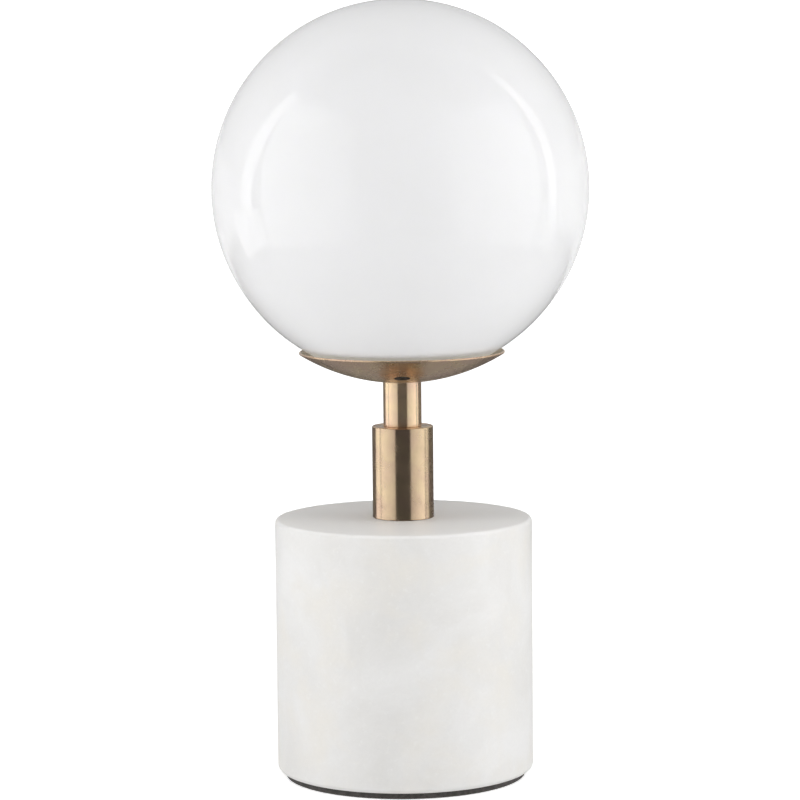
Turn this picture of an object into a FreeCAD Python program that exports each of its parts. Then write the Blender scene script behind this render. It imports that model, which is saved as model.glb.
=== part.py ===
"""Table lamp: an opal glass globe in a spun brass dish, on a brass neck and sleeve over a round marble base.

Lengths are millimetres. Z is up, the lamp's axis is Z, and the origin is the middle of the foot's underside.
The front of the lamp looks along -Y, and the mains cord enters the base at the back, on +Y.
"""

import FreeCAD, Part
import math
import os
import Sketcher

Vector = FreeCAD.Vector
Rotation = FreeCAD.Rotation
Placement = FreeCAD.Placement

UP = Vector(0, 0, 1)
FULL_TURN = 360
CLOSE = 1e-4       # lengths nearer than this are the same
VOLUME_SLACK = 0.01  # how far a wire's volume may be from section times length
TERMINALS = 2      # one for each lead that comes up the rod

document = FreeCAD.newDocument("globe_lamp")
sheet = document.addObject("Spreadsheet::Sheet", "dims")

DRIVING = {
    # Foot and marble base
    "foot_dia": 116.0,
    "foot_thickness": 3.1,
    "base_dia": 124.0,
    "base_height": 122.1,
    "base_top_round": 1.5,
    "base_bottom_round": 2.0,
    "base_bore_dia": 11.0,
    "recess_dia": 34.0,
    "recess_depth": 30.0,
    # Cord inlet at the back of the base
    "cord_hole_dia": 9.0,
    "cord_hole_rise": 11.0,
    "spot_face_dia": 14.4,
    "spot_face_depth": 1.0,
    "bushing_bore_dia": 6.2,
    "bushing_flange_dia": 13.6,
    "bushing_flange_thickness": 2.5,
    "bushing_length": 14.0,
    # Threaded rod and what clamps on its lower end
    "rod_dia": 10.0,
    "rod_bore_dia": 7.5,
    "rod_end_chamfer": 0.4,
    "rod_tail": 3.0,
    "base_washer_dia": 28.0,
    "base_washer_thickness": 2.0,
    "lock_washer_dia": 18.0,
    "lock_washer_thickness": 1.2,
    "lock_washer_split": 12.0,
    "ground_ring_dia": 15.0,
    "ground_ring_thickness": 0.8,
    "ground_tab_width": 5.0,
    "ground_tab_reach": 12.0,
    "nut_across_flats": 16.0,
    "base_nut_height": 5.0,
    # Sleeve and neck
    "sleeve_dia": 29.4,
    "sleeve_wall": 1.2,
    "sleeve_height": 44.3,
    "sleeve_top_thickness": 1.6,
    "sleeve_top_round": 0.9,
    "sleeve_bottom_chamfer": 0.35,
    "neck_dia": 18.4,
    "neck_wall": 1.0,
    "neck_length": 21.5,
    "centring_ring_thickness": 3.0,
    # Saucer
    "saucer_dia": 98.8,
    "saucer_radius": 93.2,
    "saucer_wall": 1.2,
    "saucer_flat_dia": 21.0,
    "vent_dia": 7.6,
    "vent_ring_dia": 58.0,
    "vent_count": 3,
    "saucer_rim_round": 0.45,
    # Glass globe and its seat
    "globe_dia": 180.0,
    "globe_wall": 3.0,
    "globe_opening_dia": 82.0,
    "seat_dia": 84.0,
    "seat_bore_dia": 70.0,
    "seat_edge_thickness": 1.25,
    # Spring holder inside the globe's opening
    "spring_disc_gap": 0.15,
    "spring_thickness": 0.9,
    "spring_width": 6.4,
    "spring_bend_dia": 60.0,
    "spring_lip_gap": 0.5,
    "spring_saucer_gap": 1.0,
    "spring_rise": 12.0,
    "spring_tip_inset": 2.5,
    "spring_tip_height": 3.0,
    "spring_count": 3,
    "saucer_nut_height": 4.0,
    # Lampholder
    "holder_gap": 1.0,
    "holder_hub_dia": 16.0,
    "holder_hub_height": 9.0,
    "holder_dia": 36.0,
    "holder_wall": 2.0,
    "holder_dome_height": 6.0,
    "holder_cap_height": 30.0,
    "barrel_height": 28.0,
    "barrel_mouth_round": 0.8,
    "lock_screw_dia": 3.0,
    "lock_screw_length": 4.5,
    "insert_height": 9.0,
    "shell_dia": 28.4,
    "shell_wall": 0.5,
    "shell_height": 23.0,
    "shell_thread_pitch": 3.6,
    "shell_thread_depth": 0.55,
    "shell_thread_count": 5,
    "contact_dia": 6.0,
    "contact_thickness": 0.8,
    "contact_height": 2.4,
    "terminal_dia": 4.0,
    "terminal_height": 2.4,
    "terminal_shank_dia": 2.5,
    "terminal_ring_dia": 20.0,
    # Bulb
    "bulb_dia": 48.0,
    "bulb_length": 86.0,
    "bulb_wall": 0.8,
    "bulb_neck_inset": 0.2,
    "bulb_shoulder_drop": 18.4,
    "bulb_thread_gap": 0.35,
    "bulb_cap_length": 22.0,
    "bulb_cap_wall": 1.2,
    "bulb_groove_depth": 0.5,
    "bulb_insulator_height": 3.2,
    "bulb_insulator_plug": 2.0,
    "bulb_contact_dia": 8.0,
    "bulb_contact_height": 1.4,
    "bulb_stem_dia": 7.0,
    "bulb_stem_height": 24.0,
    "bulb_stem_disc_dia": 18.0,
    "bulb_stem_disc_thickness": 1.2,
    "filament_dia": 1.8,
    "filament_length": 24.0,
    "filament_ring_dia": 14.0,
    "filament_ring_thickness": 1.0,
    "filament_count": 4,
    # Leads
    "lead_dia": 2.0,
    "lead_spacing": 3.2,
    "lead_bend_radius": 5.0,
    "lead_top_bend_radius": 4.0,
    "lead_top_run": 3.5,
    "lead_top_step": 2.0,
    "ground_lead_drop": 2.4,
    "lead_end_gap": 4.0,
}


class Size:
    """A length that carries its value and the sheet expression that gives it."""

    def __init__(self, value, text):
        self.value = value
        self.text = text

    def __add__(self, other):
        other = as_size(other)
        return Size(self.value + other.value, f"({self.text} + {other.text})")

    def __sub__(self, other):
        other = as_size(other)
        return Size(self.value - other.value, f"({self.text} - {other.text})")

    def __mul__(self, other):
        other = as_size(other)
        return Size(self.value * other.value, f"({self.text} * {other.text})")

    def __truediv__(self, other):
        other = as_size(other)
        return Size(self.value / other.value, f"({self.text} / {other.text})")

    def __neg__(self):
        return Size(-self.value, f"(0 - {self.text})")


def as_size(number):
    return number if isinstance(number, Size) else Size(float(number), f"{number}")


def root(size):
    return Size(math.sqrt(size.value), f"sqrt({size.text})")


def sphere_drop(radius, across):
    """How far below its centre a sphere is, at a distance across from its axis."""
    return root(radius * radius - across * across)


def fill_sheet():
    """Writes each driving dimension to the sheet with its alias, and returns them as sizes by name."""
    sizes = {}
    for row, (name, value) in enumerate(DRIVING.items(), start=1):
        sheet.set(f"A{row}", name)
        sheet.set(f"B{row}", f"{value}")
        sheet.setAlias(f"B{row}", name)
        sizes[name] = Size(float(value), f"dims.{name}")
    document.recompute()
    return sizes


D = fill_sheet()
sub_parts = []

# Radii
foot_r = D["foot_dia"] / 2
base_r = D["base_dia"] / 2
base_bore_r = D["base_bore_dia"] / 2
recess_r = D["recess_dia"] / 2
rod_r = D["rod_dia"] / 2
rod_bore_r = D["rod_bore_dia"] / 2
sleeve_r = D["sleeve_dia"] / 2
sleeve_bore_r = sleeve_r - D["sleeve_wall"]
neck_r = D["neck_dia"] / 2
neck_bore_r = neck_r - D["neck_wall"]
saucer_r = D["saucer_dia"] / 2
saucer_inner_radius = D["saucer_radius"] - D["saucer_wall"]
saucer_flat_r = D["saucer_flat_dia"] / 2
globe_r = D["globe_dia"] / 2
globe_inner_r = globe_r - D["globe_wall"]
opening_r = D["globe_opening_dia"] / 2
seat_r = D["seat_dia"] / 2
seat_bore_r = D["seat_bore_dia"] / 2
holder_r = D["holder_dia"] / 2
holder_bore_r = holder_r - D["holder_wall"]
hub_r = D["holder_hub_dia"] / 2
shell_r = D["shell_dia"] / 2
shell_bore_r = shell_r - D["shell_wall"]
bulb_r = D["bulb_dia"] / 2
bulb_cap_r = shell_bore_r - D["shell_thread_depth"] - D["bulb_thread_gap"]
bulb_cap_bore_r = bulb_cap_r - D["bulb_cap_wall"]

# Heights, from the table up
base_bottom_z = D["foot_thickness"]
base_top_z = base_bottom_z + D["base_height"]
recess_top_z = base_bottom_z + D["recess_depth"]
cord_z = base_bottom_z + D["cord_hole_rise"]
base_washer_z = recess_top_z - D["base_washer_thickness"]
lock_washer_z = base_washer_z - D["lock_washer_thickness"]
ground_ring_z = lock_washer_z - D["ground_ring_thickness"]
base_nut_z = ground_ring_z - D["base_nut_height"]
rod_bottom_z = base_nut_z - D["rod_tail"]
sleeve_top_z = base_top_z + D["sleeve_height"]
saucer_bottom_z = sleeve_top_z + D["neck_length"]
saucer_centre_z = saucer_bottom_z + sphere_drop(D["saucer_radius"], saucer_flat_r)
saucer_floor_z = saucer_bottom_z + D["saucer_wall"]
saucer_floor_r = root(
    saucer_inner_radius * saucer_inner_radius
    - (saucer_centre_z - saucer_floor_z) * (saucer_centre_z - saucer_floor_z)
)
saucer_nut_z = saucer_floor_z + D["spring_thickness"]
holder_z = saucer_nut_z + D["saucer_nut_height"] + D["holder_gap"]
hub_top_z = holder_z + D["holder_hub_height"]
dome_top_z = hub_top_z + D["holder_dome_height"]
holder_cap_top_z = holder_z + D["holder_cap_height"]
barrel_top_z = holder_cap_top_z + D["barrel_height"]
rod_top_z = hub_top_z + D["holder_wall"]
insert_top_z = holder_cap_top_z + D["contact_thickness"]
insert_z = insert_top_z - D["insert_height"]
shell_top_z = insert_top_z + D["shell_height"]
contact_top_z = insert_top_z + D["contact_height"]
bulb_z = contact_top_z
bulb_insulator_z = bulb_z + D["bulb_contact_height"]
bulb_cap_z = bulb_insulator_z + D["bulb_insulator_height"]
bulb_cap_top_z = bulb_cap_z + D["bulb_cap_length"]
bulb_top_z = bulb_z + D["bulb_length"]
seat_top_z = saucer_centre_z - sphere_drop(saucer_inner_radius, seat_r) + D["seat_edge_thickness"]
globe_centre_z = seat_top_z + sphere_drop(globe_r, opening_r)
opening_bore_r = root(
    globe_inner_r * globe_inner_r - (globe_centre_z - seat_top_z) * (globe_centre_z - seat_top_z)
)


def bind(thing, prop, size):
    thing.setExpression(prop, as_size(size).text)


def new_body(label):
    body = document.addObject("PartDesign::Body", label)
    body.Label = label
    sub_parts.append(body)
    return body


def origin_feature(body, role):
    return next(feature for feature in body.Origin.OriginFeatures if feature.Role == role)


def new_sketch(body, name, plane):
    sketch = body.newObject("Sketcher::SketchObject", f"{body.Label}_{name}")
    sketch.AttachmentSupport = [(origin_feature(body, plane), "")]
    sketch.MapMode = "FlatFace"
    return sketch


def place_point(sketch, geometry, end, corner, tag):
    """Holds one end of a sketch line or arc at a corner's two coordinates.

    To constraints, geometry -1 is the horizontal axis, whose point 1 is the origin, and -2 the vertical axis.
    """
    for kind, axis, size, letter in (
        ("DistanceX", -2, as_size(corner[0]), "across"),
        ("DistanceY", -1, as_size(corner[1]), "up"),
    ):
        if size.value == 0:
            sketch.addConstraint(Sketcher.Constraint("PointOnObject", geometry, end, axis))
            continue
        index = sketch.addConstraint(
            Sketcher.Constraint(kind, -1, 1, geometry, end, size.value)
        )
        sketch.renameConstraint(index, f"{letter}_{tag}")
        sketch.setExpression(f"Constraints.{letter}_{tag}", size.text)


class Bend:
    """An arc between two corners, its centre to the left of the way from one to the next, or to the right."""

    def __init__(self, radius, left=True):
        self.radius = as_size(radius)
        self.left = left

    def geometry(self, start, end):
        middle = (start + end) * 0.5
        chord = end - start
        half = chord.Length / 2
        away = math.sqrt(max(self.radius.value**2 - half**2, 0))
        side = Vector(-chord.y, chord.x, 0).normalize() * (away if self.left else -away)
        centre = middle + side
        first, last = (start, end) if self.left else (end, start)
        angles = [math.atan2(point.y - centre.y, point.x - centre.x) for point in (first, last)]
        return Part.ArcOfCircle(Part.Circle(centre, UP, self.radius.value), *angles)


def draw_outline(sketch, outline):
    """Draws a closed outline: corners as (across, up), with a Bend between two corners that an arc joins."""
    corners = [item for item in outline if not isinstance(item, Bend)]
    bends = {}
    count = 0
    for item in outline:
        if isinstance(item, Bend):
            bends[count - 1] = item
        else:
            count += 1
    points = [Vector(as_size(x).value, as_size(z).value, 0) for x, z in corners]
    ends = []
    for i, start in enumerate(points):
        end = points[(i + 1) % len(points)]
        bend = bends.get(i)
        shape = bend.geometry(start, end) if bend else Part.LineSegment(start, end)
        geometry = sketch.addGeometry(shape, False)
        ends.append((geometry, 2, 1) if bend and not bend.left else (geometry, 1, 2))
    for i, (geometry, start_end, last_end) in enumerate(ends):
        following, following_start, _ = ends[(i + 1) % len(ends)]
        sketch.addConstraint(
            Sketcher.Constraint("Coincident", geometry, last_end, following, following_start)
        )
        place_point(sketch, geometry, start_end, corners[i], i)
        if i in bends:
            index = sketch.addConstraint(
                Sketcher.Constraint("Radius", geometry, bends[i].radius.value)
            )
            sketch.renameConstraint(index, f"radius_{i}")
            sketch.setExpression(f"Constraints.radius_{i}", bends[i].radius.text)


def draw_circle(sketch, across, up, radius):
    geometry = sketch.addGeometry(
        Part.Circle(Vector(as_size(across).value, as_size(up).value, 0), UP, radius.value), False
    )
    place_point(sketch, geometry, 3, (across, up), "centre")
    index = sketch.addConstraint(Sketcher.Constraint("Radius", geometry, radius.value))
    sketch.renameConstraint(index, "radius")
    sketch.setExpression("Constraints.radius", radius.text)


def turned(label, outline, angle=FULL_TURN):
    """A body turned about Z from an outline in the XZ plane."""
    body = new_body(label)
    sketch = new_sketch(body, "outline", "XZ_Plane")
    draw_outline(sketch, outline)
    turn = body.newObject("PartDesign::Revolution", f"{label}_turn")
    turn.Profile = sketch
    turn.ReferenceAxis = (sketch, ["V_Axis"])
    bind(turn, "Angle", angle)
    document.recompute()
    return body


def tube(label, outer_r, inner_r, bottom_z, top_z):
    """A ring, washer, tube or, with no inner radius, a disc."""
    return turned(
        label,
        [(inner_r, bottom_z), (outer_r, bottom_z), (outer_r, top_z), (inner_r, top_z)],
    )


def rim_edges(feature, radius, height):
    """Names of a feature's circular edges about Z with this radius, at this height."""
    names = []
    for number, edge in enumerate(feature.Shape.Edges, start=1):
        curve = edge.Curve
        if not isinstance(curve, Part.Circle):
            continue
        on_axis = math.hypot(curve.Center.x, curve.Center.y) < CLOSE
        same_radius = abs(curve.Radius - radius.value) < CLOSE
        same_height = abs(curve.Center.z - height.value) < CLOSE
        if on_axis and same_radius and same_height:
            names.append(f"Edge{number}")
    return names


def dress_edge(body, kind, name, radius, height, size):
    """Fillets or chamfers the circular edge of a turned body at a radius and height."""
    base = body.Tip
    feature = body.newObject(f"PartDesign::{kind}", f"{body.Label}_{name}")
    feature.Base = (base, rim_edges(base, radius, height))
    bind(feature, "Radius" if kind == "Fillet" else "Size", size)
    document.recompute()


def pocket_through(body, sketch, name, upward=False):
    """Cuts a sketch right through a body, against the sketch's normal or, upward, along it."""
    before = body.Shape.Volume
    pocket = body.newObject("PartDesign::Pocket", f"{body.Label}_{name}")
    pocket.Profile = sketch
    pocket.Type = "ThroughAll"
    pocket.Reversed = upward
    document.recompute()
    if not body.Shape.Volume < before:
        raise RuntimeError(f"{pocket.Name} cuts nothing")
    return pocket


def repeat_about_z(body, features, name, count):
    pattern = body.newObject("PartDesign::PolarPattern", f"{body.Label}_{name}")
    pattern.Originals = features
    pattern.Axis = (origin_feature(body, "Z_Axis"), [""])
    pattern.Angle = FULL_TURN
    bind(pattern, "Occurrences", count)
    body.Tip = pattern
    document.recompute()


def repeat_up(body, feature, name, reach, count):
    pattern = body.newObject("PartDesign::LinearPattern", f"{body.Label}_{name}")
    pattern.Originals = [feature]
    pattern.Direction = (origin_feature(body, "Z_Axis"), [""])
    bind(pattern, "Length", reach)
    bind(pattern, "Occurrences", count)
    body.Tip = pattern
    document.recompute()


def hex_nut(label, height, z):
    """A nut on the rod, its thread bored to the rod's own radius."""
    prism = document.addObject("Part::Prism", f"{label}_blank")
    prism.Polygon = 6
    bind(prism, "Circumradius", D["nut_across_flats"] / root(as_size(3)))
    thread = document.addObject("Part::Cylinder", f"{label}_thread")
    bind(thread, "Radius", rod_r)
    for solid in (prism, thread):
        bind(solid, "Height", height)
        bind(solid, "Placement.Base.z", z)
    nut = document.addObject("Part::Cut", label)
    nut.Label = label
    nut.Base = prism
    nut.Tool = thread
    document.recompute()
    sub_parts.append(nut)


def free_shape(label, shape):
    """A sub-part whose shape Part's own functions make from the sheet's sizes."""
    feature = document.addObject("Part::Feature", label)
    feature.Label = label
    feature.Shape = shape
    sub_parts.append(feature)


def wire_with_bends(points, bends):
    """Straight runs through the points, each inner corner rounded by a tangent arc of its own radius."""
    edges = []
    start = points[0]
    for before, corner, after, bend in zip(points, points[1:], points[2:], bends):
        into = (corner - before).normalize()
        away = (after - corner).normalize()
        turn = into.getAngle(away)
        reach = bend * math.tan(turn / 2)
        first = corner - into * reach
        last = corner + away * reach
        inward = (away - into).normalize()
        middle = corner + inward * (bend / math.cos(turn / 2) - bend)
        if (first - start).Length > CLOSE:
            edges.append(Part.LineSegment(start, first).toShape())
        edges.append(Part.Arc(first, middle, last).toShape())
        start = last
    edges.append(Part.LineSegment(start, points[-1]).toShape())
    return Part.Wire(edges)


def round_wire(label, points, diameter, bends):
    """A solid round wire along straight runs and arcs."""
    path = wire_with_bends(points, bends)
    section = Part.Wire(Part.Circle(points[0], points[1] - points[0], diameter / 2).toShape())
    solid = path.makePipeShell([section], True, True)
    expected = math.pi * diameter**2 / 4 * path.Length
    if abs(solid.Volume / expected - 1) > VOLUME_SLACK:
        raise RuntimeError(f"{label} does not have its section's volume")
    free_shape(label, solid)


def add_ring(body, kind, name, outline):
    """Adds (Revolution) or cuts (Groove) a ring that an outline turns about Z."""
    sketch = new_sketch(body, name, "XZ_Plane")
    draw_outline(sketch, outline)
    ring = body.newObject(f"PartDesign::{kind}", f"{body.Label}_{name}_turn")
    ring.Profile = sketch
    ring.ReferenceAxis = (sketch, ["V_Axis"])
    bind(ring, "Angle", FULL_TURN)
    document.recompute()
    return ring


def add_pad(body, sketch, name, height, both_ways=False):
    pad = body.newObject("PartDesign::Pad", f"{body.Label}_{name}")
    pad.Profile = sketch
    bind(pad, "Length", height)
    pad.Midplane = both_ways
    document.recompute()
    return pad


def level_sketch(body, name, z):
    """A sketch parallel to the table, at a height."""
    sketch = new_sketch(body, name, "XY_Plane")
    bind(sketch, ".AttachmentOffset.Base.z", z)
    return sketch


def foot_and_base():
    tube("foot_pad", foot_r, 0, 0, base_bottom_z)

    base = turned(
        "marble_base",
        [
            (base_bore_r, recess_top_z),
            (recess_r, recess_top_z),
            (recess_r, base_bottom_z),
            (base_r, base_bottom_z),
            (base_r, base_top_z),
            (base_bore_r, base_top_z),
        ],
    )
    dress_edge(base, "Fillet", "top_round", base_r, base_top_z, D["base_top_round"])
    dress_edge(base, "Fillet", "bottom_round", base_r, base_bottom_z, D["base_bottom_round"])
    channel = new_sketch(base, "cord_channel", "XZ_Plane")
    draw_circle(channel, 0, cord_z, D["cord_hole_dia"] / 2)
    pocket_through(base, channel, "cord_hole")
    spot = new_sketch(base, "spot_circle", "XZ_Plane")
    bind(spot, ".AttachmentOffset.Base.z", D["spot_face_depth"] - base_r)
    draw_circle(spot, 0, cord_z, D["spot_face_dia"] / 2)
    pocket_through(base, spot, "spot_face")


def cord_inlet():
    """The bushing that the mains cord enters by, turned on its own axis and laid along Y at the back."""
    flange_r = D["bushing_flange_dia"] / 2
    stem_r = D["cord_hole_dia"] / 2
    bore_r = D["bushing_bore_dia"] / 2
    stem_length = D["bushing_length"] - D["bushing_flange_thickness"]
    bushing = turned(
        "cord_bushing",
        [
            (bore_r, -stem_length),
            (stem_r, -stem_length),
            (stem_r, 0),
            (flange_r, 0),
            (flange_r, D["bushing_flange_thickness"]),
            (bore_r, D["bushing_flange_thickness"]),
        ],
    )
    bushing.Placement = Placement(Vector(), Rotation(Vector(1, 0, 0), -90))
    bind(bushing, ".Placement.Base.y", base_r - D["spot_face_depth"])
    bind(bushing, ".Placement.Base.z", cord_z)


def rod_and_lower_clamp():
    rod = tube("threaded_rod", rod_r, rod_bore_r, rod_bottom_z, rod_top_z)
    dress_edge(rod, "Chamfer", "top_chamfer", rod_r, rod_top_z, D["rod_end_chamfer"])
    dress_edge(rod, "Chamfer", "bottom_chamfer", rod_r, rod_bottom_z, D["rod_end_chamfer"])
    tube("base_washer", D["base_washer_dia"] / 2, rod_r, base_washer_z, recess_top_z)
    washer_r = D["lock_washer_dia"] / 2
    turned(
        "lock_washer",
        [
            (rod_r, lock_washer_z),
            (washer_r, lock_washer_z),
            (washer_r, base_washer_z),
            (rod_r, base_washer_z),
        ],
        as_size(FULL_TURN) - D["lock_washer_split"],
    )
    hex_nut("base_nut", D["base_nut_height"], base_nut_z)


def ground_terminal():
    """A ring under the nut, with a tab that the ground lead is crimped to."""
    ring_r = D["ground_ring_dia"] / 2
    terminal = tube("ground_terminal", ring_r, rod_r, ground_ring_z, lock_washer_z)
    tab = level_sketch(terminal, "tab_outline", ground_ring_z)
    half_width = D["ground_tab_width"] / 2
    inner = (ring_r + rod_r) / 2
    outer = D["ground_tab_reach"] + half_width
    draw_outline(
        tab,
        [(inner, -half_width), (outer, -half_width), (outer, half_width), (inner, half_width)],
    )
    add_pad(terminal, tab, "tab", D["ground_ring_thickness"])


def sleeve_and_neck():
    sleeve = turned(
        "sleeve",
        [
            (sleeve_bore_r, base_top_z),
            (sleeve_r, base_top_z),
            (sleeve_r, sleeve_top_z),
            (rod_r, sleeve_top_z),
            (rod_r, sleeve_top_z - D["sleeve_top_thickness"]),
            (sleeve_bore_r, sleeve_top_z - D["sleeve_top_thickness"]),
        ],
    )
    dress_edge(sleeve, "Fillet", "top_round", sleeve_r, sleeve_top_z, D["sleeve_top_round"])
    dress_edge(sleeve, "Chamfer", "foot_chamfer", sleeve_r, base_top_z, D["sleeve_bottom_chamfer"])
    ring_height = D["centring_ring_thickness"]
    tube("sleeve_centring_ring", sleeve_bore_r, rod_r, base_top_z, base_top_z + ring_height)
    tube("neck_tube", neck_r, neck_bore_r, sleeve_top_z, saucer_bottom_z)
    tube("neck_lower_ring", neck_bore_r, rod_r, sleeve_top_z, sleeve_top_z + ring_height)
    tube("neck_upper_ring", neck_bore_r, rod_r, saucer_bottom_z - ring_height, saucer_bottom_z)


def saucer():
    """The spun dish: flat where it sits on the neck, then a part of a sphere that follows the globe."""
    shrink = saucer_inner_radius / D["saucer_radius"]
    rim_drop = sphere_drop(D["saucer_radius"], saucer_r)
    rim_z = saucer_centre_z - rim_drop
    rim_inner_r = saucer_r * shrink
    rim_inner_z = saucer_centre_z - rim_drop * shrink
    dish = turned(
        "saucer",
        [
            (rod_r, saucer_bottom_z),
            (saucer_flat_r, saucer_bottom_z),
            Bend(D["saucer_radius"]),
            (saucer_r, rim_z),
            (rim_inner_r, rim_inner_z),
            Bend(saucer_inner_radius, left=False),
            (saucer_floor_r, saucer_floor_z),
            (rod_r, saucer_floor_z),
        ],
    )
    dress_edge(dish, "Fillet", "outer_rim_round", saucer_r, rim_z, D["saucer_rim_round"])
    dress_edge(dish, "Fillet", "inner_rim_round", rim_inner_r, rim_inner_z, D["saucer_rim_round"])
    vent = new_sketch(dish, "vent_circle", "XY_Plane")
    draw_circle(vent, 0, -(D["vent_ring_dia"] / 2), D["vent_dia"] / 2)
    hole = pocket_through(dish, vent, "vent", upward=True)
    repeat_about_z(dish, [hole], "vents", D["vent_count"])


def globe_seat():
    """A soft ring, flat on top for the glass and shaped to the dish below."""
    turned(
        "globe_seat",
        [
            (seat_bore_r, saucer_centre_z - sphere_drop(saucer_inner_radius, seat_bore_r)),
            Bend(saucer_inner_radius),
            (seat_r, saucer_centre_z - sphere_drop(saucer_inner_radius, seat_r)),
            (seat_r, seat_top_z),
            (seat_bore_r, seat_top_z),
        ],
    )


def spring_holder():
    """A disc under the saucer's nut, with leaf arms that rise through the globe's opening and centre it."""
    thickness = D["spring_thickness"]
    half_width = D["spring_width"] / 2
    disc_r = root(saucer_floor_r * saucer_floor_r - half_width * half_width) - D["spring_disc_gap"]
    holder = tube("spring_holder", disc_r, rod_r, saucer_floor_z, saucer_nut_z)
    arm = new_sketch(holder, "arm_outline", "XZ_Plane")
    bend_r = D["spring_bend_dia"] / 2
    bend_z = saucer_centre_z - sphere_drop(saucer_inner_radius, bend_r) + D["spring_saucer_gap"]
    lip_r = opening_bore_r - D["spring_lip_gap"]
    arm_top_z = seat_top_z + D["spring_rise"]
    tip_r = lip_r - D["spring_tip_inset"]
    tip_z = arm_top_z + D["spring_tip_height"]
    draw_outline(
        arm,
        [
            (disc_r - thickness, saucer_floor_z),
            (disc_r, saucer_floor_z),
            (bend_r, bend_z),
            (lip_r, seat_top_z),
            (lip_r, arm_top_z),
            (tip_r, tip_z),
            (tip_r - thickness, tip_z),
            (lip_r - thickness, arm_top_z),
            (lip_r - thickness, seat_top_z),
            (bend_r - thickness, bend_z + thickness),
            (disc_r, saucer_nut_z),
            (disc_r - thickness, saucer_nut_z),
        ],
    )
    pad = add_pad(holder, arm, "arm", D["spring_width"], both_ways=True)
    repeat_about_z(holder, [pad], "arms", D["spring_count"])
    between_vents = FULL_TURN / 2 / D["vent_count"].value - FULL_TURN / 4
    holder.Placement = Placement(Vector(), Rotation(UP, between_vents))
    hex_nut("saucer_nut", D["saucer_nut_height"], saucer_nut_z)


def globe():
    turned(
        "globe_glass",
        [
            (opening_bore_r, seat_top_z),
            (opening_r, seat_top_z),
            Bend(globe_r),
            (0, globe_centre_z + globe_r),
            (0, globe_centre_z + globe_inner_r),
            Bend(globe_inner_r, left=False),
        ],
    )


def lampholder_shell():
    floor_z = hub_top_z + D["holder_wall"]
    cap = turned(
        "lampholder_cap",
        [
            (rod_r, holder_z),
            (hub_r, holder_z),
            (hub_r, hub_top_z),
            (holder_r, dome_top_z),
            (holder_r, holder_cap_top_z),
            (holder_bore_r, holder_cap_top_z),
            (holder_bore_r, dome_top_z + D["holder_wall"]),
            (hub_r, floor_z),
            (rod_r, floor_z),
        ],
    )
    hub_middle_z = (holder_z + hub_top_z) / 2
    screw_hole = new_sketch(cap, "lock_screw_circle", "XZ_Plane")
    draw_circle(screw_hole, 0, hub_middle_z, D["lock_screw_dia"] / 2)
    pocket_through(cap, screw_hole, "lock_screw_hole")
    screw = document.addObject("Part::Cylinder", "lampholder_lock_screw")
    screw.Label = "lampholder_lock_screw"
    bind(screw, "Radius", D["lock_screw_dia"] / 2)
    bind(screw, "Height", D["lock_screw_length"])
    screw.Placement = Placement(Vector(), Rotation(Vector(1, 0, 0), -90))
    bind(screw, ".Placement.Base.y", rod_r)
    bind(screw, ".Placement.Base.z", hub_middle_z)
    sub_parts.append(screw)

    lip_z = barrel_top_z - D["holder_wall"]
    barrel = turned(
        "lampholder_barrel",
        [
            (holder_bore_r, holder_cap_top_z),
            (holder_r, holder_cap_top_z),
            (holder_r, barrel_top_z),
            (shell_r, barrel_top_z),
            (shell_r, lip_z),
            (holder_bore_r, lip_z),
        ],
    )
    dress_edge(barrel, "Fillet", "mouth_round", holder_r, barrel_top_z, D["barrel_mouth_round"])


def lampholder_contacts():
    ring_r = D["terminal_ring_dia"] / 2
    insert = tube("lampholder_insert", holder_bore_r, 0, insert_z, insert_top_z)
    hole = new_sketch(insert, "terminal_circle", "XY_Plane")
    draw_circle(hole, ring_r, 0, D["terminal_shank_dia"] / 2)
    pocket = pocket_through(insert, hole, "terminal_hole", upward=True)
    repeat_about_z(insert, [pocket], "terminal_holes", TERMINALS)

    screws = new_body("terminal_screws")
    head = level_sketch(screws, "head_circle", insert_z - D["terminal_height"])
    draw_circle(head, ring_r, 0, D["terminal_dia"] / 2)
    head_pad = add_pad(screws, head, "head", D["terminal_height"])
    shank = level_sketch(screws, "shank_circle", insert_z)
    draw_circle(shank, ring_r, 0, D["terminal_shank_dia"] / 2)
    shank_pad = add_pad(screws, shank, "shank", D["insert_height"])
    repeat_about_z(screws, [head_pad, shank_pad], "pair", TERMINALS)

    thread_z = insert_top_z + D["shell_thread_pitch"]
    shell = turned(
        "screw_shell",
        [
            (D["contact_dia"], insert_top_z),
            (shell_r, insert_top_z),
            (shell_r, shell_top_z),
            (shell_bore_r, shell_top_z),
            (shell_bore_r, insert_top_z + D["shell_wall"]),
            (D["contact_dia"], insert_top_z + D["shell_wall"]),
        ],
    )
    ridge = add_ring(
        shell,
        "Revolution",
        "ridge",
        [
            (shell_bore_r, thread_z),
            (shell_bore_r, thread_z + D["shell_thread_pitch"] / 2),
            (shell_bore_r - D["shell_thread_depth"], thread_z + D["shell_thread_pitch"] / 4),
        ],
    )
    reach = D["shell_thread_pitch"] * (D["shell_thread_count"] - 1)
    repeat_up(shell, ridge, "ridges", reach, D["shell_thread_count"])

    contact_r = D["contact_dia"] / 2
    turned(
        "centre_contact",
        [
            (0, insert_top_z),
            (contact_r, insert_top_z),
            (contact_r, insert_top_z + D["contact_thickness"]),
            (contact_r / 2, contact_top_z),
            (0, contact_top_z),
        ],
    )


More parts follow.
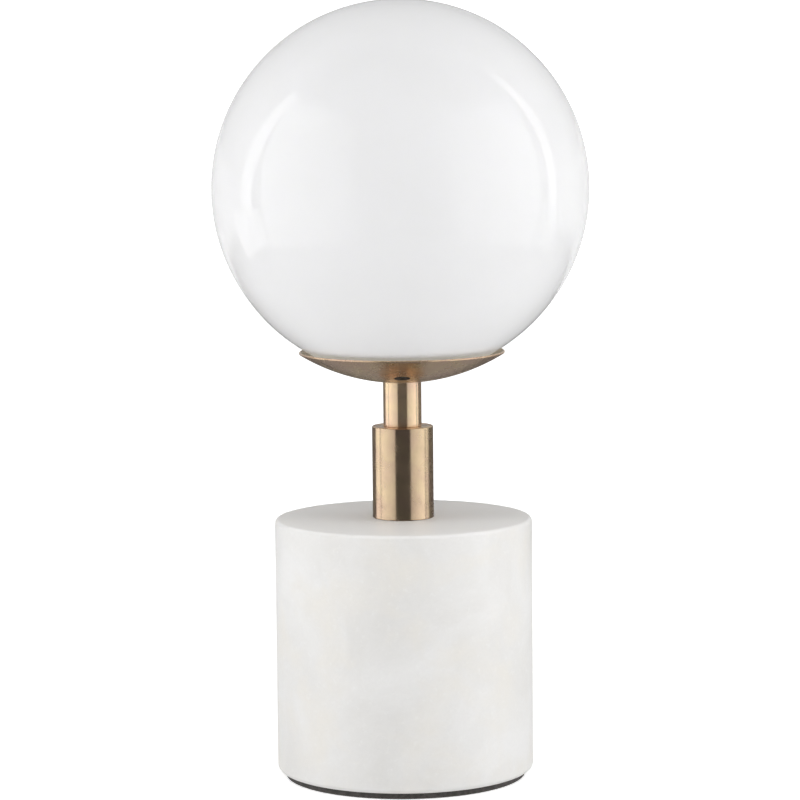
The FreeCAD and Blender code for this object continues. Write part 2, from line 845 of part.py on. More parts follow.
def bulb():
    contact_r = D["bulb_contact_dia"] / 2
    plug_z = bulb_cap_z + D["bulb_insulator_plug"]
    turned(
        "bulb_contact",
        [(0, bulb_z), (contact_r / 2, bulb_z), (contact_r, bulb_insulator_z), (0, bulb_insulator_z)],
    )
    turned(
        "bulb_insulator",
        [
            (0, bulb_insulator_z),
            (contact_r, bulb_insulator_z),
            (bulb_cap_bore_r, bulb_cap_z),
            (bulb_cap_bore_r, plug_z),
            (0, plug_z),
        ],
    )

    cap = tube("bulb_cap", bulb_cap_r, bulb_cap_bore_r, bulb_cap_z, bulb_cap_top_z)
    pitch = D["shell_thread_pitch"]
    groove_z = bulb_cap_z + pitch / 2
    groove = add_ring(
        cap,
        "Groove",
        "groove",
        [
            (bulb_cap_r, groove_z),
            (bulb_cap_r, groove_z + pitch / 2),
            (bulb_cap_r - D["bulb_groove_depth"], groove_z + pitch / 4),
        ],
    )
    repeat_up(cap, groove, "grooves", pitch * (D["shell_thread_count"] - 1), D["shell_thread_count"])

    bulb_glass()

    stem_top_z = plug_z + D["bulb_stem_height"]
    disc_top_z = stem_top_z + D["bulb_stem_disc_thickness"]
    stem_r = D["bulb_stem_dia"] / 2
    disc_r = D["bulb_stem_disc_dia"] / 2
    turned(
        "bulb_stem",
        [
            (0, plug_z),
            (stem_r, plug_z),
            (stem_r, stem_top_z),
            (disc_r, stem_top_z),
            (disc_r, disc_top_z),
            (0, disc_top_z),
        ],
    )
    filament_r = D["filament_dia"] / 2
    ring_r = D["filament_ring_dia"] / 2
    filaments = new_body("bulb_filaments")
    rod = level_sketch(filaments, "filament_circle", disc_top_z)
    draw_circle(rod, ring_r, 0, filament_r)
    rod_pad = add_pad(filaments, rod, "filament", D["filament_length"])
    repeat_about_z(filaments, [rod_pad], "filaments", D["filament_count"])
    ring_z = disc_top_z + D["filament_length"] - D["filament_ring_thickness"]
    ring_top_z = disc_top_z + D["filament_length"]
    add_ring(
        filaments,
        "Revolution",
        "top_ring",
        [
            (ring_r - filament_r, ring_z),
            (ring_r + filament_r, ring_z),
            (ring_r + filament_r, ring_top_z),
            (ring_r - filament_r, ring_top_z),
        ],
    )


def bulb_glass():
    """A straight neck that a hollow curve turns into a ball, as an even wall."""
    wall = D["bulb_wall"]
    neck_r = bulb_cap_r - D["bulb_neck_inset"]
    centre_z = bulb_top_z - bulb_r
    drop = D["bulb_shoulder_drop"]
    shoulder_r = root(bulb_r * bulb_r - drop * drop)
    hollow_radius = (shoulder_r - neck_r) * bulb_r / (bulb_r - shoulder_r)
    neck_top_z = centre_z - drop - hollow_radius * drop / bulb_r
    inner_r = bulb_r - wall
    shrink = inner_r / bulb_r
    turned(
        "bulb_glass",
        [
            (neck_r - wall, bulb_cap_top_z),
            (neck_r, bulb_cap_top_z),
            (neck_r, neck_top_z),
            Bend(hollow_radius, left=False),
            (shoulder_r, centre_z - drop),
            Bend(bulb_r),
            (0, bulb_top_z),
            (0, bulb_top_z - wall),
            Bend(inner_r, left=False),
            (shoulder_r * shrink, centre_z - drop * shrink),
            Bend(hollow_radius + wall),
            (neck_r - wall, neck_top_z),
        ],
    )


def leads():
    """Insulated leads: two from the cord inlet up the rod to the terminals, one to the ground terminal."""
    diameter = D["lead_dia"].value
    bend = D["lead_bend_radius"].value
    top_bend = D["lead_top_bend_radius"].value
    bushing_inner_y = base_r - D["spot_face_depth"] - D["bushing_length"] + D["bushing_flange_thickness"]
    end_y = (bushing_inner_y - D["lead_end_gap"]).value
    terminal_r = D["terminal_ring_dia"].value / 2
    terminal_z = (insert_z - D["terminal_height"]).value
    step_z = terminal_z - D["lead_top_run"].value
    for label, side in (("lead_line", 1), ("lead_neutral", -1)):
        x = side * D["lead_spacing"].value / 2
        points = [
            Vector(x, end_y, cord_z.value),
            Vector(x, 0, cord_z.value),
            Vector(x, 0, step_z - D["lead_top_step"].value),
            Vector(side * terminal_r, 0, step_z),
            Vector(side * terminal_r, 0, terminal_z),
        ]
        round_wire(label, points, diameter, [bend, top_bend, top_bend])
    tab_x = D["ground_tab_reach"].value
    low_z = (cord_z - D["ground_lead_drop"]).value
    points = [
        Vector(0, end_y, low_z),
        Vector(0, recess_r.value, low_z),
        Vector(tab_x, 0, low_z),
        Vector(tab_x, 0, ground_ring_z.value),
    ]
    round_wire("lead_ground", points, diameter, [bend, bend])


def check_and_export():
    document.recompute()
    for thing in document.Objects:
        if {"Invalid", "Error"} & set(thing.State):
            raise RuntimeError(f"{thing.Name} failed: {thing.State}")
    os.makedirs("parts", exist_ok=True)
    for part in sub_parts:
        shape = part.Shape
        if shape.isNull() or not shape.isValid() or shape.Volume <= 0:
            raise RuntimeError(f"{part.Label} has no valid solid")
        shape.exportStep(f"parts/{part.Label}.step")
        print(f"{part.Label}: {len(shape.Solids)} solid(s), {shape.Volume:.1f} mm3")


foot_and_base()
cord_inlet()
rod_and_lower_clamp()
ground_terminal()
sleeve_and_neck()
saucer()
globe_seat()
spring_holder()
lampholder_shell()
lampholder_contacts()
bulb()
globe()
leads()
check_and_export()
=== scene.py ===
import math

import bmesh
import bpy
from mathutils import Matrix, Vector, noise

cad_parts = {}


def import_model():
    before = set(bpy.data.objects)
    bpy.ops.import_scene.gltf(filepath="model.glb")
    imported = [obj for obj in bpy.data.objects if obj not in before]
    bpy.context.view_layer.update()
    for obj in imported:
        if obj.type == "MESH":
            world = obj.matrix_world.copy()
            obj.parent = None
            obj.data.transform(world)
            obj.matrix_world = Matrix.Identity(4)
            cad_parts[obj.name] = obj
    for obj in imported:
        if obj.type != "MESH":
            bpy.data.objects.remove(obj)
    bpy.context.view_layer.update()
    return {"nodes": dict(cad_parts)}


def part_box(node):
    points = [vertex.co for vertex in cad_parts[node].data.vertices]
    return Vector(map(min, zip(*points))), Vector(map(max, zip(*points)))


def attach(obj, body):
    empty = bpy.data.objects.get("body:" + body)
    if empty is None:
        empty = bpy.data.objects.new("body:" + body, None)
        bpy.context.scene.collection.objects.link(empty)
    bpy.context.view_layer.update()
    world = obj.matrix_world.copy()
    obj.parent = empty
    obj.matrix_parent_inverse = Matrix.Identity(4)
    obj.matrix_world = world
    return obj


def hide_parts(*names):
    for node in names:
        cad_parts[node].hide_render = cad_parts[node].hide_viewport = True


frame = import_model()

MM = 0.001
TAU = 2 * math.pi
SHARP = math.radians(40)        # edges that turn by more than this stay sharp

# The photograph's camera
IMAGE = 800                     # pixels
FOCAL = 3328.6                  # pixels
SENSOR = 36.0                   # mm
CAMERA_PLACE = (-0.0011, -1.587, 0.357)
CAMERA_TILT = 6.30              # degrees down
CAMERA_ROLL = 0.55              # degrees

# Sizes that several pieces share, in mm
CORD_HOLE_R = 4.5
DISH_BOTTOM = 191.0
DISH_FLAT_R = 10.5              # the flat that sits on the neck
DISH_WALL = 1.2
DISH_OUTER = 93.2               # the sphere that the dish's underside follows
DISH_INNER = DISH_OUTER - DISH_WALL
DISH_CENTRE = DISH_BOTTOM + math.sqrt(DISH_OUTER**2 - DISH_FLAT_R**2)
GLOBE_R = 90.0
GLOBE_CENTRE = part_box("globe_glass")[1].z / MM - GLOBE_R
ROD_PLAY = 0.05                 # between the rod and the rings on it
THREAD_PITCH = 3.6              # of the screw shell and the bulb's cap
HOLDER_WALL = 2.0


# Meshes ----------------------------------------------------------------------------------------------------


def add_object(name, mesh, body=None):
    thing = bpy.data.objects.new(name, mesh)
    bpy.context.scene.collection.objects.link(thing)
    mesh.shade_smooth()
    mesh.set_sharp_from_angle(angle=SHARP)
    if body:
        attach(thing, body)
    return thing


def finish_mesh(name, bm, body=None):
    bmesh.ops.recalc_face_normals(bm, faces=bm.faces)
    mesh = bpy.data.meshes.new(name)
    bm.to_mesh(mesh)
    bm.free()
    return add_object(name, mesh, body)


def joined(name, parts, body):
    """One piece made of several objects, which it takes the place of."""
    bm = bmesh.new()
    for part in parts:
        bm.from_mesh(part.data)
        bpy.data.objects.remove(part)
    return finish_mesh(name, bm, body)


def dressed(thing, material, *nodes, slot=None):
    """Gives a piece its material and hides the CAD nodes it stands for; slot is not used."""
    thing.data.materials.clear()
    thing.data.materials.append(material)
    if nodes:
        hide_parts(*nodes)
    return thing


def flats_first(thing):
    """Keeps flat and even faces true where they meet small rounded ones."""
    weighted = thing.modifiers.new("normals", "WEIGHTED_NORMAL")
    weighted.keep_sharp = True
    weighted.weight = 80


def laid_back(thing, y, z):
    """Lays a piece that was made upright along +Y, its foot at y and its axis at z, both in m."""
    turn = Matrix.Rotation(math.radians(-90), 4, "X")
    thing.data.transform(Matrix.Translation((0, y, z)) @ turn)


def round_size(node):
    """(radius, bottom, top) in mm of a CAD node that is round about Z."""
    low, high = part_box(node)
    return max(high.x, high.y) / MM, low.z / MM, high.z / MM


def rounded(corners, steps=7):
    """An outline of (r, z) in mm from corners (r, z) or (r, z, radius), the last kind rounded by an arc."""
    outline = []
    for i, corner in enumerate(corners):
        here = Vector(corner[:2])
        radius = corner[2] if len(corner) > 2 else 0
        if not radius:
            outline.append(tuple(here))
            continue
        back = (Vector(corners[i - 1][:2]) - here).normalized()
        ahead = (Vector(corners[(i + 1) % len(corners)][:2]) - here).normalized()
        half = back.angle(ahead) / 2
        centre = here + (back + ahead).normalized() * (radius / math.sin(half))
        start = here + back * (radius / math.tan(half)) - centre
        sweep = start.angle_signed(here + ahead * (radius / math.tan(half)) - centre)
        for k in range(steps + 1):
            outline.append(tuple(centre + Matrix.Rotation(-sweep * k / steps, 2) @ start))
    return outline


def subdivided(outline, step):
    """The same outline with its long stretches split, for a shape to bend."""
    points = []
    for start, end in zip(outline, outline[1:] + outline[:1]):
        count = math.ceil(math.dist(start, end) / step)
        points += [tuple(Vector(start).lerp(Vector(end), k / count)) for k in range(count)]
    return points


def arc(centre, radius, start, end, steps):
    """Points on a circle in the (r, z) plane, angles in degrees from the r axis."""
    points = []
    for k in range(steps + 1):
        angle = math.radians(start + (end - start) * k / steps)
        points.append((centre[0] + radius * math.cos(angle), centre[1] + radius * math.sin(angle)))
    return points


def below_axis(offset, radius):
    """The angle in degrees, for arc, of the point at that offset from the axis on a circle's lower half."""
    return math.degrees(math.asin(offset / radius)) - 90


def lathe(name, outline, body=None, segments=192, shape=None):
    """Turns a closed outline of (r, z) in mm about Z. shape(r, angle, z) may change each point's r and z."""
    bm = bmesh.new()
    rings = []
    for r, z in outline:
        if r < 1e-6:
            rings.append([bm.verts.new((0, 0, z * MM))])
            continue
        ring = []
        for i in range(segments):
            angle = TAU * i / segments
            here_r, here_z = shape(r, angle, z) if shape else (r, z)
            place = (here_r * math.cos(angle) * MM, here_r * math.sin(angle) * MM, here_z * MM)
            ring.append(bm.verts.new(place))
        rings.append(ring)
    for lower, upper in zip(rings, rings[1:] + rings[:1]):
        if len(lower) == 1 and len(upper) == 1:
            continue
        below, above = len(lower), len(upper)
        for i in range(segments):
            j = i + 1
            corners = [lower[i % below], lower[j % below], upper[j % above], upper[i % above]]
            bm.faces.new(list(dict.fromkeys(corners)))
    return finish_mesh(name, bm, body)


def turned_piece(name, outline, node, material, slot, body="root", segments=192, shape=None):
    """A lathe piece that stands for a CAD node, in its material."""
    piece = lathe(name, outline, body, segments, shape)
    flats_first(piece)
    return dressed(piece, material, node, slot=slot)


def as_cutter(bm):
    """The mesh of a cutting tool."""
    mesh = bpy.data.meshes.new("tool")
    bm.to_mesh(mesh)
    bm.free()
    return mesh


def rod_mesh(radius, start, end, segments=48):
    """A plain cylinder between two points in mm, as a cutting tool."""
    start, end = Vector(start) * MM, Vector(end) * MM
    bm = bmesh.new()
    along = end - start
    turn = along.to_track_quat("Z", "Y").to_matrix().to_4x4()
    bmesh.ops.create_cone(
        bm,
        cap_ends=True,
        segments=segments,
        radius1=radius * MM,
        radius2=radius * MM,
        depth=along.length,
        matrix=Matrix.Translation((start + end) / 2) @ turn,
    )
    return as_cutter(bm)


def block_mesh(centre, sizes):
    """A box of these sizes in mm round a centre, as a cutting tool."""
    bm = bmesh.new()
    scale = Matrix.Diagonal((*(size * MM for size in sizes), 1.0))
    bmesh.ops.create_cube(bm, size=1.0, matrix=Matrix.Translation(Vector(centre) * MM) @ scale)
    return as_cutter(bm)


def drill(thing, *cutters):
    """Cuts these meshes out of a piece and applies the result."""
    for cutter in cutters:
        tool = bpy.data.objects.new("tool", cutter)
        bpy.context.scene.collection.objects.link(tool)
        cut = thing.modifiers.new("cut", "BOOLEAN")
        cut.operation, cut.solver, cut.object = "DIFFERENCE", "EXACT", tool
        bpy.context.view_layer.update()
        evaluated = thing.evaluated_get(bpy.context.evaluated_depsgraph_get())
        mesh = bpy.data.meshes.new_from_object(evaluated)
        thing.modifiers.remove(cut)
        thing.data = mesh
        mesh.name = thing.name
        bpy.data.objects.remove(tool)
        bpy.data.meshes.remove(cutter)
    thing.data.shade_smooth()
    thing.data.set_sharp_from_angle(angle=SHARP)


# Materials -------------------------------------------------------------------------------------------------


class Nodes:
    """A node tree under construction."""

    def __init__(self, tree):
        self.tree = tree

    def add(self, kind, **inputs):
        node = self.tree.nodes.new(kind)
        for name, value in inputs.items():
            self.feed(node.inputs[name.replace("_", " ")], value)
        return node

    def feed(self, socket, value):
        if isinstance(value, bpy.types.NodeSocket):
            self.tree.links.new(value, socket)
        else:
            socket.default_value = value

    def split(self, vector):
        return self.add("ShaderNodeSeparateXYZ", Vector=vector).outputs

    def levels(self, value, low, high, to_low=0.0, to_high=1.0):
        node = self.add(
            "ShaderNodeMapRange", Value=value, From_Min=low, From_Max=high, To_Min=to_low, To_Max=to_high
        )
        return node.outputs["Result"]

    def soft_levels(self, *args):
        result = self.levels(*args)
        result.node.interpolation_type = "SMOOTHSTEP"
        return result


class Paint(Nodes):
    """One material's nodes. Sizes of patterns are given in mm."""

    def __init__(self, name, **sockets):
        self.material = bpy.data.materials.new(name)
        self.material.use_nodes = True
        super().__init__(self.material.node_tree)
        self.shader = self.tree.nodes["Principled BSDF"]
        for socket, value in sockets.items():
            self.set(socket.replace("_", " "), value)
        self.place = self.add("ShaderNodeTexCoord").outputs["Object"]

    def set(self, socket, value):
        self.feed(self.shader.inputs[socket], value)

    def stretched(self, across, along):
        """Coordinates in which a pattern is that many times longer across (x and y) and along Z."""
        mapping = self.add("ShaderNodeMapping", Vector=self.place, Scale=(1 / across, 1 / across, 1 / along))
        return mapping.outputs["Vector"]

    def moved(self, offset):
        """The same coordinates, moved so that a pattern doesn't repeat another one's places."""
        mapping = self.add("ShaderNodeMapping", Vector=self.place, Location=(offset, -offset, 2 * offset))
        return mapping.outputs["Vector"]

    def noise(self, size, detail=3.0, roughness=0.5, place=None, distortion=0.0):
        node = self.add(
            "ShaderNodeTexNoise",
            Vector=place or self.place,
            Scale=1 / (size * MM),
            Detail=detail,
            Roughness=roughness,
            Distortion=distortion,
        )
        return node.outputs["Fac"]

    def cells(self, size):
        node = self.add("ShaderNodeTexVoronoi", Vector=self.place, Scale=1 / (size * MM))
        return self.add("ShaderNodeSeparateColor", Color=node.outputs["Color"]).outputs["Red"]

    def sum(self, first, second, operation="ADD"):
        node = self.tree.nodes.new("ShaderNodeMath")
        node.operation = operation
        self.feed(node.inputs[0], first)
        self.feed(node.inputs[1], second)
        return node.outputs["Value"]

    def mix(self, share, first, second):
        """A colour between two, each a socket or a tuple."""
        node = self.tree.nodes.new("ShaderNodeMix")
        node.data_type = "RGBA"
        self.feed(node.inputs["Factor"], share)
        colors = [s for s in node.inputs if s.type == "RGBA"]
        for socket, value in zip(colors, (first, second)):
            self.feed(socket, value if isinstance(value, bpy.types.NodeSocket) else (*value, 1.0))
        return next(s for s in node.outputs if s.type == "RGBA")

    def bump(self, height, depth):
        """Bump of that depth in mm."""
        node = self.add("ShaderNodeBump", Height=height, Distance=depth * MM)
        self.set("Normal", node.outputs["Normal"])


def opal_glass():
    """Milky glass. Its bottom, inside the dish and just above the rim, has a faint painted glow that lightens
    the shade between globe and dish.
    """
    paint = Paint(
        "opal_glass_look",
        IOR=1.5,
        Subsurface_Weight=0.5,
        Subsurface_Scale=0.01,
        Subsurface_Radius=(1.0, 1.0, 0.9),
        Emission_Color=(1.0, 0.99, 0.94, 1.0),
    )
    cloud = paint.levels(paint.noise(45, detail=2), 0.35, 0.65)
    paint.set("Base Color", paint.mix(cloud, (0.965, 0.965, 0.955), (0.985, 0.985, 0.978)))
    paint.set("Roughness", paint.levels(paint.noise(20, detail=2), 0.3, 0.7, 0.03, 0.05))
    paint.bump(paint.noise(28, detail=1), 0.05)
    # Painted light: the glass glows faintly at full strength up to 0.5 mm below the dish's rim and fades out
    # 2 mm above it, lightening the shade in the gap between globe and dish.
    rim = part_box("saucer")[1].z
    fade_low, fade_high, glow = rim - 0.5 * MM, rim + 2 * MM, 0.30
    height = paint.split(paint.place)["Z"]
    paint.set("Emission Strength", paint.levels(height, fade_low, fade_high, glow, 0.0))
    return paint.material


def antique_brass(name, rough, patina, brush, metallic=1.0, bright=1.0):
    """Brass brushed round the axis. patina is the brown spots' strength, brush the lines' depth in mm; bright
    scales the colour, which is painted light when above 1.
    """
    paint = Paint(name, Metallic=metallic, Anisotropic=0.78, Anisotropic_Rotation=0.25)
    round_it = paint.add("ShaderNodeTangent")
    round_it.direction_type, round_it.axis = "RADIAL", "Z"
    paint.set("Tangent", round_it.outputs["Tangent"])
    # Painted light: bright above 1 makes a lighter copy of the same brass, as if more lit.
    gold = [bright * level for level in (0.82, 0.63, 0.41)]
    rose = [bright * level for level in (0.76, 0.545, 0.40)]
    tone = paint.noise(16, detail=3, distortion=0.6)
    base = paint.mix(paint.levels(tone, 0.38, 0.62), gold, rose)
    blotch = paint.noise(8.0, detail=4, place=paint.stretched(1.0, 1.7))
    spots = paint.levels(blotch, 0.56, 0.74, 0.0, patina)
    base = paint.mix(spots, base, (0.36, 0.265, 0.18))
    fine = paint.levels(paint.noise(1.8, detail=2), 0.35, 0.7, 0.0, 0.04)
    paint.set("Base Color", paint.mix(fine, base, (0.50, 0.37, 0.25)))
    haze = paint.levels(paint.noise(7, detail=2), 0.35, 0.65, rough - 0.03, rough + 0.045)
    paint.set("Roughness", paint.sum(haze, paint.sum(spots, 0.22, "MULTIPLY")))
    paint.bump(paint.noise(0.22, detail=2, place=paint.stretched(90.0, 1.0)), brush)
    return paint.material


def marble():
    """White stone: grey and warm clouds, grains, flecks, a few specks, and a top face painted paler, as
    painted light from above.
    """
    paint = Paint(
        "white_marble_look",
        IOR=1.48,
        Subsurface_Weight=0.12,
        Subsurface_Scale=0.003,
        Subsurface_Radius=(1.0, 0.95, 0.85),
    )
    cloud = paint.noise(38, detail=5, roughness=0.55, distortion=0.7)
    base = paint.mix(paint.levels(cloud, 0.34, 0.68), (0.815, 0.805, 0.785), (0.885, 0.88, 0.87))
    warm = paint.levels(paint.noise(26, detail=4, distortion=0.4), 0.48, 0.7, 0.0, 0.75)
    base = paint.mix(warm, base, (0.86, 0.835, 0.785))
    grain = paint.levels(paint.cells(1.3), 0.0, 1.0, 0.0, 0.09)
    base = paint.mix(grain, base, (0.70, 0.69, 0.68))
    fleck = paint.levels(paint.noise(2.6, detail=3, roughness=0.7), 0.58, 0.75, 0.0, 0.4)
    base = paint.mix(fleck, base, (0.93, 0.93, 0.92))
    dark_specks = (9.0, 0.735, 0.765, (0.42, 0.41, 0.40))
    pale_specks = (7.0, 0.72, 0.76, (0.97, 0.97, 0.96))
    for size, low, high, shade in (dark_specks, pale_specks):
        speck = paint.noise(size, detail=6, roughness=0.75, place=paint.moved(size))
        base = paint.mix(paint.levels(speck, low, high, 0.0, 0.5), base, shade)
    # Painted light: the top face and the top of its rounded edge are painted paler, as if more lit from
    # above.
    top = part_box("marble_base")[1].z
    height = paint.split(paint.place)["Z"]
    painted_top_light = paint.levels(height, top - 1.5 * MM, top - 0.3 * MM, 0.0, 0.8)
    paint.set("Base Color", paint.mix(painted_top_light, base, (0.97, 0.965, 0.95)))
    paint.set("Roughness", paint.levels(paint.cells(0.9), 0.0, 1.0, 0.36, 0.5))
    paint.bump(paint.noise(1.1, detail=3, roughness=0.6), 0.02)
    return paint.material


def plain(name, color, second, size, rough, depth, **sockets):
    """A moulded, plated or pressed surface: two close shades, uneven gloss and a fine grain."""
    paint = Paint(name, **sockets)
    shade = paint.levels(paint.noise(size, detail=4), 0.35, 0.65)
    paint.set("Base Color", paint.mix(shade, color, second))
    gloss = paint.noise(size * 0.7, detail=3)
    paint.set("Roughness", paint.levels(gloss, 0.35, 0.65, rough - 0.05, rough + 0.06))
    paint.bump(paint.noise(size * 0.12, detail=2), depth)
    return paint.material


def clear_glass():
    paint = Paint("clear_glass_look", IOR=1.47, Transmission_Weight=1.0)
    paint.set("Base Color", paint.mix(paint.noise(20), (0.98, 0.985, 0.98), (0.995, 1.0, 0.995)))
    paint.set("Roughness", paint.levels(paint.noise(12), 0.3, 0.7, 0.0, 0.015))
    return paint.material


# The lamp's body -------------------------------------------------------------------------------------------


def marble_base(material):
    """The stone block with worn edges, its bore, the recess underneath and the cord's hole."""
    radius, bottom, top = round_size("marble_base")
    bore, recess_r, recess_top, wear_reach = 5.5, 17.0, 33.1, 4.0
    outline = rounded(
        [
            (bore, recess_top),
            (recess_r, recess_top),
            (recess_r, bottom, 0.6),
            (radius, bottom, 2.4),
            (radius, top, 2.0),
            (bore, top, 0.4),
        ],
        steps=10,
    )

    def hand_finished(r, angle, z):
        if r < radius - 3:
            return r, z
        near_edge = max(0.0, 1 - min(abs(z - top), abs(z - bottom)) / wear_reach)
        here = Vector((math.cos(angle) * 9, math.sin(angle) * 9, z * 0.05))
        worn = near_edge * (0.5 + 0.5 * noise.noise(here * 2.3))
        waves = 0.05 + 0.05 * noise.noise(here * 0.8)
        return r - waves - 0.2 * worn, z - 0.12 * worn * (z > bottom + wear_reach)

    base = lathe("marble_block", outline, "root", segments=320, shape=hand_finished)
    low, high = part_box("cord_bushing")
    cord_z = (low.z + high.z) / 2 / MM
    spot_r, spot_depth, outside = 7.2, 1.0, radius + 5
    drill(
        base,
        rod_mesh(CORD_HOLE_R, (0, 10, cord_z), (0, outside, cord_z)),
        rod_mesh(spot_r, (0, radius - spot_depth, cord_z), (0, outside, cord_z)),
    )
    flats_first(base)
    base.visible_glossy = False
    dressed(base, material, "marble_base", slot="white_marble")


def foot(material):
    radius, _, top = round_size("foot_pad")
    outline = rounded([(0, 0), (radius, 0, 0.5), (radius, top, 0.5), (0, top)], steps=5)
    turned_piece("foot_disc", outline, "foot_pad", material, "foot_rubber", segments=256)


def sleeve(material):
    """The tube and the cap that closes its top, with the hand-fitted seam between them."""
    radius, bottom, top = round_size("sleeve")
    wall, bevel, cap_bore, cap_depth, cap_drop = 1.2, 0.35, 5.0, 1.6, 0.04
    bore = radius - wall
    seam = bore + 0.1
    seam_depth = 0.45

    def uneven_seam(r, angle, z):
        if z < top - 0.5 or r > radius - 0.6 or r < seam - 0.5:
            return r, z
        wander = noise.noise(Vector((math.cos(angle) * 5, math.sin(angle) * 5, 0)))
        return r + 0.12 * wander, z - 0.03 - 0.03 * wander

    outline = rounded(
        [
            (bore, bottom),
            (radius - bevel, bottom, 0.08),
            (radius, bottom + bevel, 0.15),
            (radius, top, 0.5),
            (seam + 0.14, top, 0.12),
            (seam + 0.05, top - seam_depth),
            (seam - 0.05, top - seam_depth),
            (seam - 0.14, top - cap_drop, 0.12),
            (cap_bore, top - cap_drop),
            (cap_bore, top - cap_depth),
            (bore, top - cap_depth, 0.5),
        ],
        steps=6,
    )
    turned_piece(
        "sleeve_cap", outline, "sleeve", material, "antique_brass", segments=256, shape=uneven_seam
    )


def neck(material):
    radius, bottom, top = round_size("neck_tube")
    bore = radius - 1
    outline = rounded([(bore, bottom), (radius, bottom, 0.15), (radius, top, 0.15), (bore, top)], steps=4)
    turned_piece("neck_shell", outline, "neck_tube", material, "antique_brass")


def dish(material, dull_shaded_inside, dark):
    """The spun dish with a rounded lip and three vents. Its inside is a duller brass painted darker, partly
    its unpolished face and partly painted shade, and the vents' walls are painted near-black as painted shade
    for the holes.
    """
    rim_r, bore = 49.4, 5.0
    vent_count, vent_r, vent_orbit = 3, 3.8, 29
    lip_turn = 0.25                 # degrees that the rounded lip takes from both skins
    lip_angle = below_axis(rim_r, DISH_OUTER) - lip_turn
    floor = DISH_BOTTOM + DISH_WALL
    floor_angle = math.degrees(math.asin((floor - DISH_CENTRE) / DISH_INNER))
    under = arc((0, DISH_CENTRE), DISH_OUTER, below_axis(DISH_FLAT_R, DISH_OUTER), lip_angle, 44)
    inside = arc((0, DISH_CENTRE), DISH_INNER, lip_angle, floor_angle, 44)
    (out_r, out_z), (in_r, in_z) = under[-1], inside[0]
    lean = math.atan2(in_z - out_z, in_r - out_r)
    lip = []
    for k in range(1, 8):
        angle = lean + math.pi * k / 8
        lip_r = (out_r + in_r) / 2 - DISH_WALL / 2 * math.cos(angle)
        lip_z = (out_z + in_z) / 2 - DISH_WALL / 2 * math.sin(angle)
        lip.append((lip_r, lip_z))
    outline = [(bore, DISH_BOTTOM)] + under + lip + inside + [(bore, floor)]
    piece = lathe("brass_dish", outline, "root", segments=256)
    tools = []
    for k in range(vent_count):
        angle = -math.pi / 2 + TAU * k / vent_count
        x, y = vent_orbit * math.cos(angle), vent_orbit * math.sin(angle)
        tools.append(rod_mesh(vent_r, (x, y, DISH_BOTTOM - 2), (x, y, DISH_BOTTOM + 16), segments=64))
    drill(piece, *tools)
    flats_first(piece)
    dressed(piece, material, "saucer", slot="antique_brass")

    # Painted shade: faces inside the dish take a darker, duller brass, partly the unpolished inner face and
    # partly the shade under the globe.
    piece.data.materials.append(dull_shaded_inside)
    piece.data.materials.append(dark)
    middle = Vector((0, 0, DISH_CENTRE * MM))
    inside_r = (rim_r - 0.6) * MM
    vents_from, vents_to = (vent_orbit - 5) * MM, (vent_orbit + 5) * MM
    for face in piece.data.polygons:
        facing = face.normal.dot((face.center - middle).normalized())
        from_axis = face.center.xy.length
        if facing < -0.6 and from_axis < inside_r:
            face.material_index = 1
        # Painted shade: the vents' walls take a near-black brass, so the holes look as dark as the shade in
        # them.
        elif abs(facing) < 0.6 and vents_from < from_axis < vents_to:
            face.material_index = 2


def seat(material):
    """The soft ring between dish and globe, flat on top and shaped to the dish below."""
    inner_r, outer_r = 35.0, 42.0
    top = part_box("globe_seat")[1].z / MM
    start, end = below_axis(inner_r, DISH_INNER), below_axis(outer_r, DISH_INNER)
    below = arc((0, DISH_CENTRE), DISH_INNER, start, end, 12)
    above = rounded([below[-1], (outer_r, top, 0.35), (inner_r, top, 0.6), below[0]], steps=5)[1:-1]
    turned_piece("glass_seat", below + above, "globe_seat", material, "seat_silicone")


def globe(material):
    """The blown globe, its opening's edge ground flat and rounded."""
    wall, inset = 3.0, 0.03
    lip_turn = 0.25                 # degrees that the rounded edge takes from both skins
    outer, inner = GLOBE_R - inset, GLOBE_R - wall
    middle = (0, GLOBE_CENTRE)
    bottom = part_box("globe_glass")[0].z / MM
    opening = math.degrees(math.asin((bottom - GLOBE_CENTRE) / outer))
    mouth = math.degrees(math.asin((bottom - GLOBE_CENTRE) / inner))
    outside = arc(middle, outer, opening + lip_turn, 90, 150)
    inside = arc(middle, inner, 90, mouth + lip_turn, 120)
    outside[-1], inside[0] = (0, GLOBE_CENTRE + outer), (0, GLOBE_CENTRE + inner)
    edge_inner = (inside[-1][0] - 0.15, bottom, 0.3)
    edge_outer = (outside[0][0] - 0.3, bottom, 0.3)
    lip = rounded([inside[-1], edge_inner, edge_outer, outside[0]], steps=4)[1:-1]
    outline = outside + inside + lip
    turned_piece("globe_shade", outline, "globe_glass", material, "opal_glass", "globe", segments=288)


# What holds it together ------------------------------------------------------------------------------------


def washers(material):
    """The plain washer, and the rings that centre the tubes on the rod."""
    bore = round_size("threaded_rod")[0] + ROD_PLAY
    for name, node in (
        ("clamp_washer", "base_washer"),
        ("sleeve_ring", "sleeve_centring_ring"),
        ("neck_ring_low", "neck_lower_ring"),
        ("neck_ring_high", "neck_upper_ring"),
    ):
        radius, bottom, top = round_size(node)
        outline = rounded(
            [(bore, bottom, 0.15), (radius, bottom, 0.25), (radius, top, 0.25), (bore, top, 0.15)], steps=3
        )
        turned_piece(name, outline, node, material, "zinc_steel", segments=96)


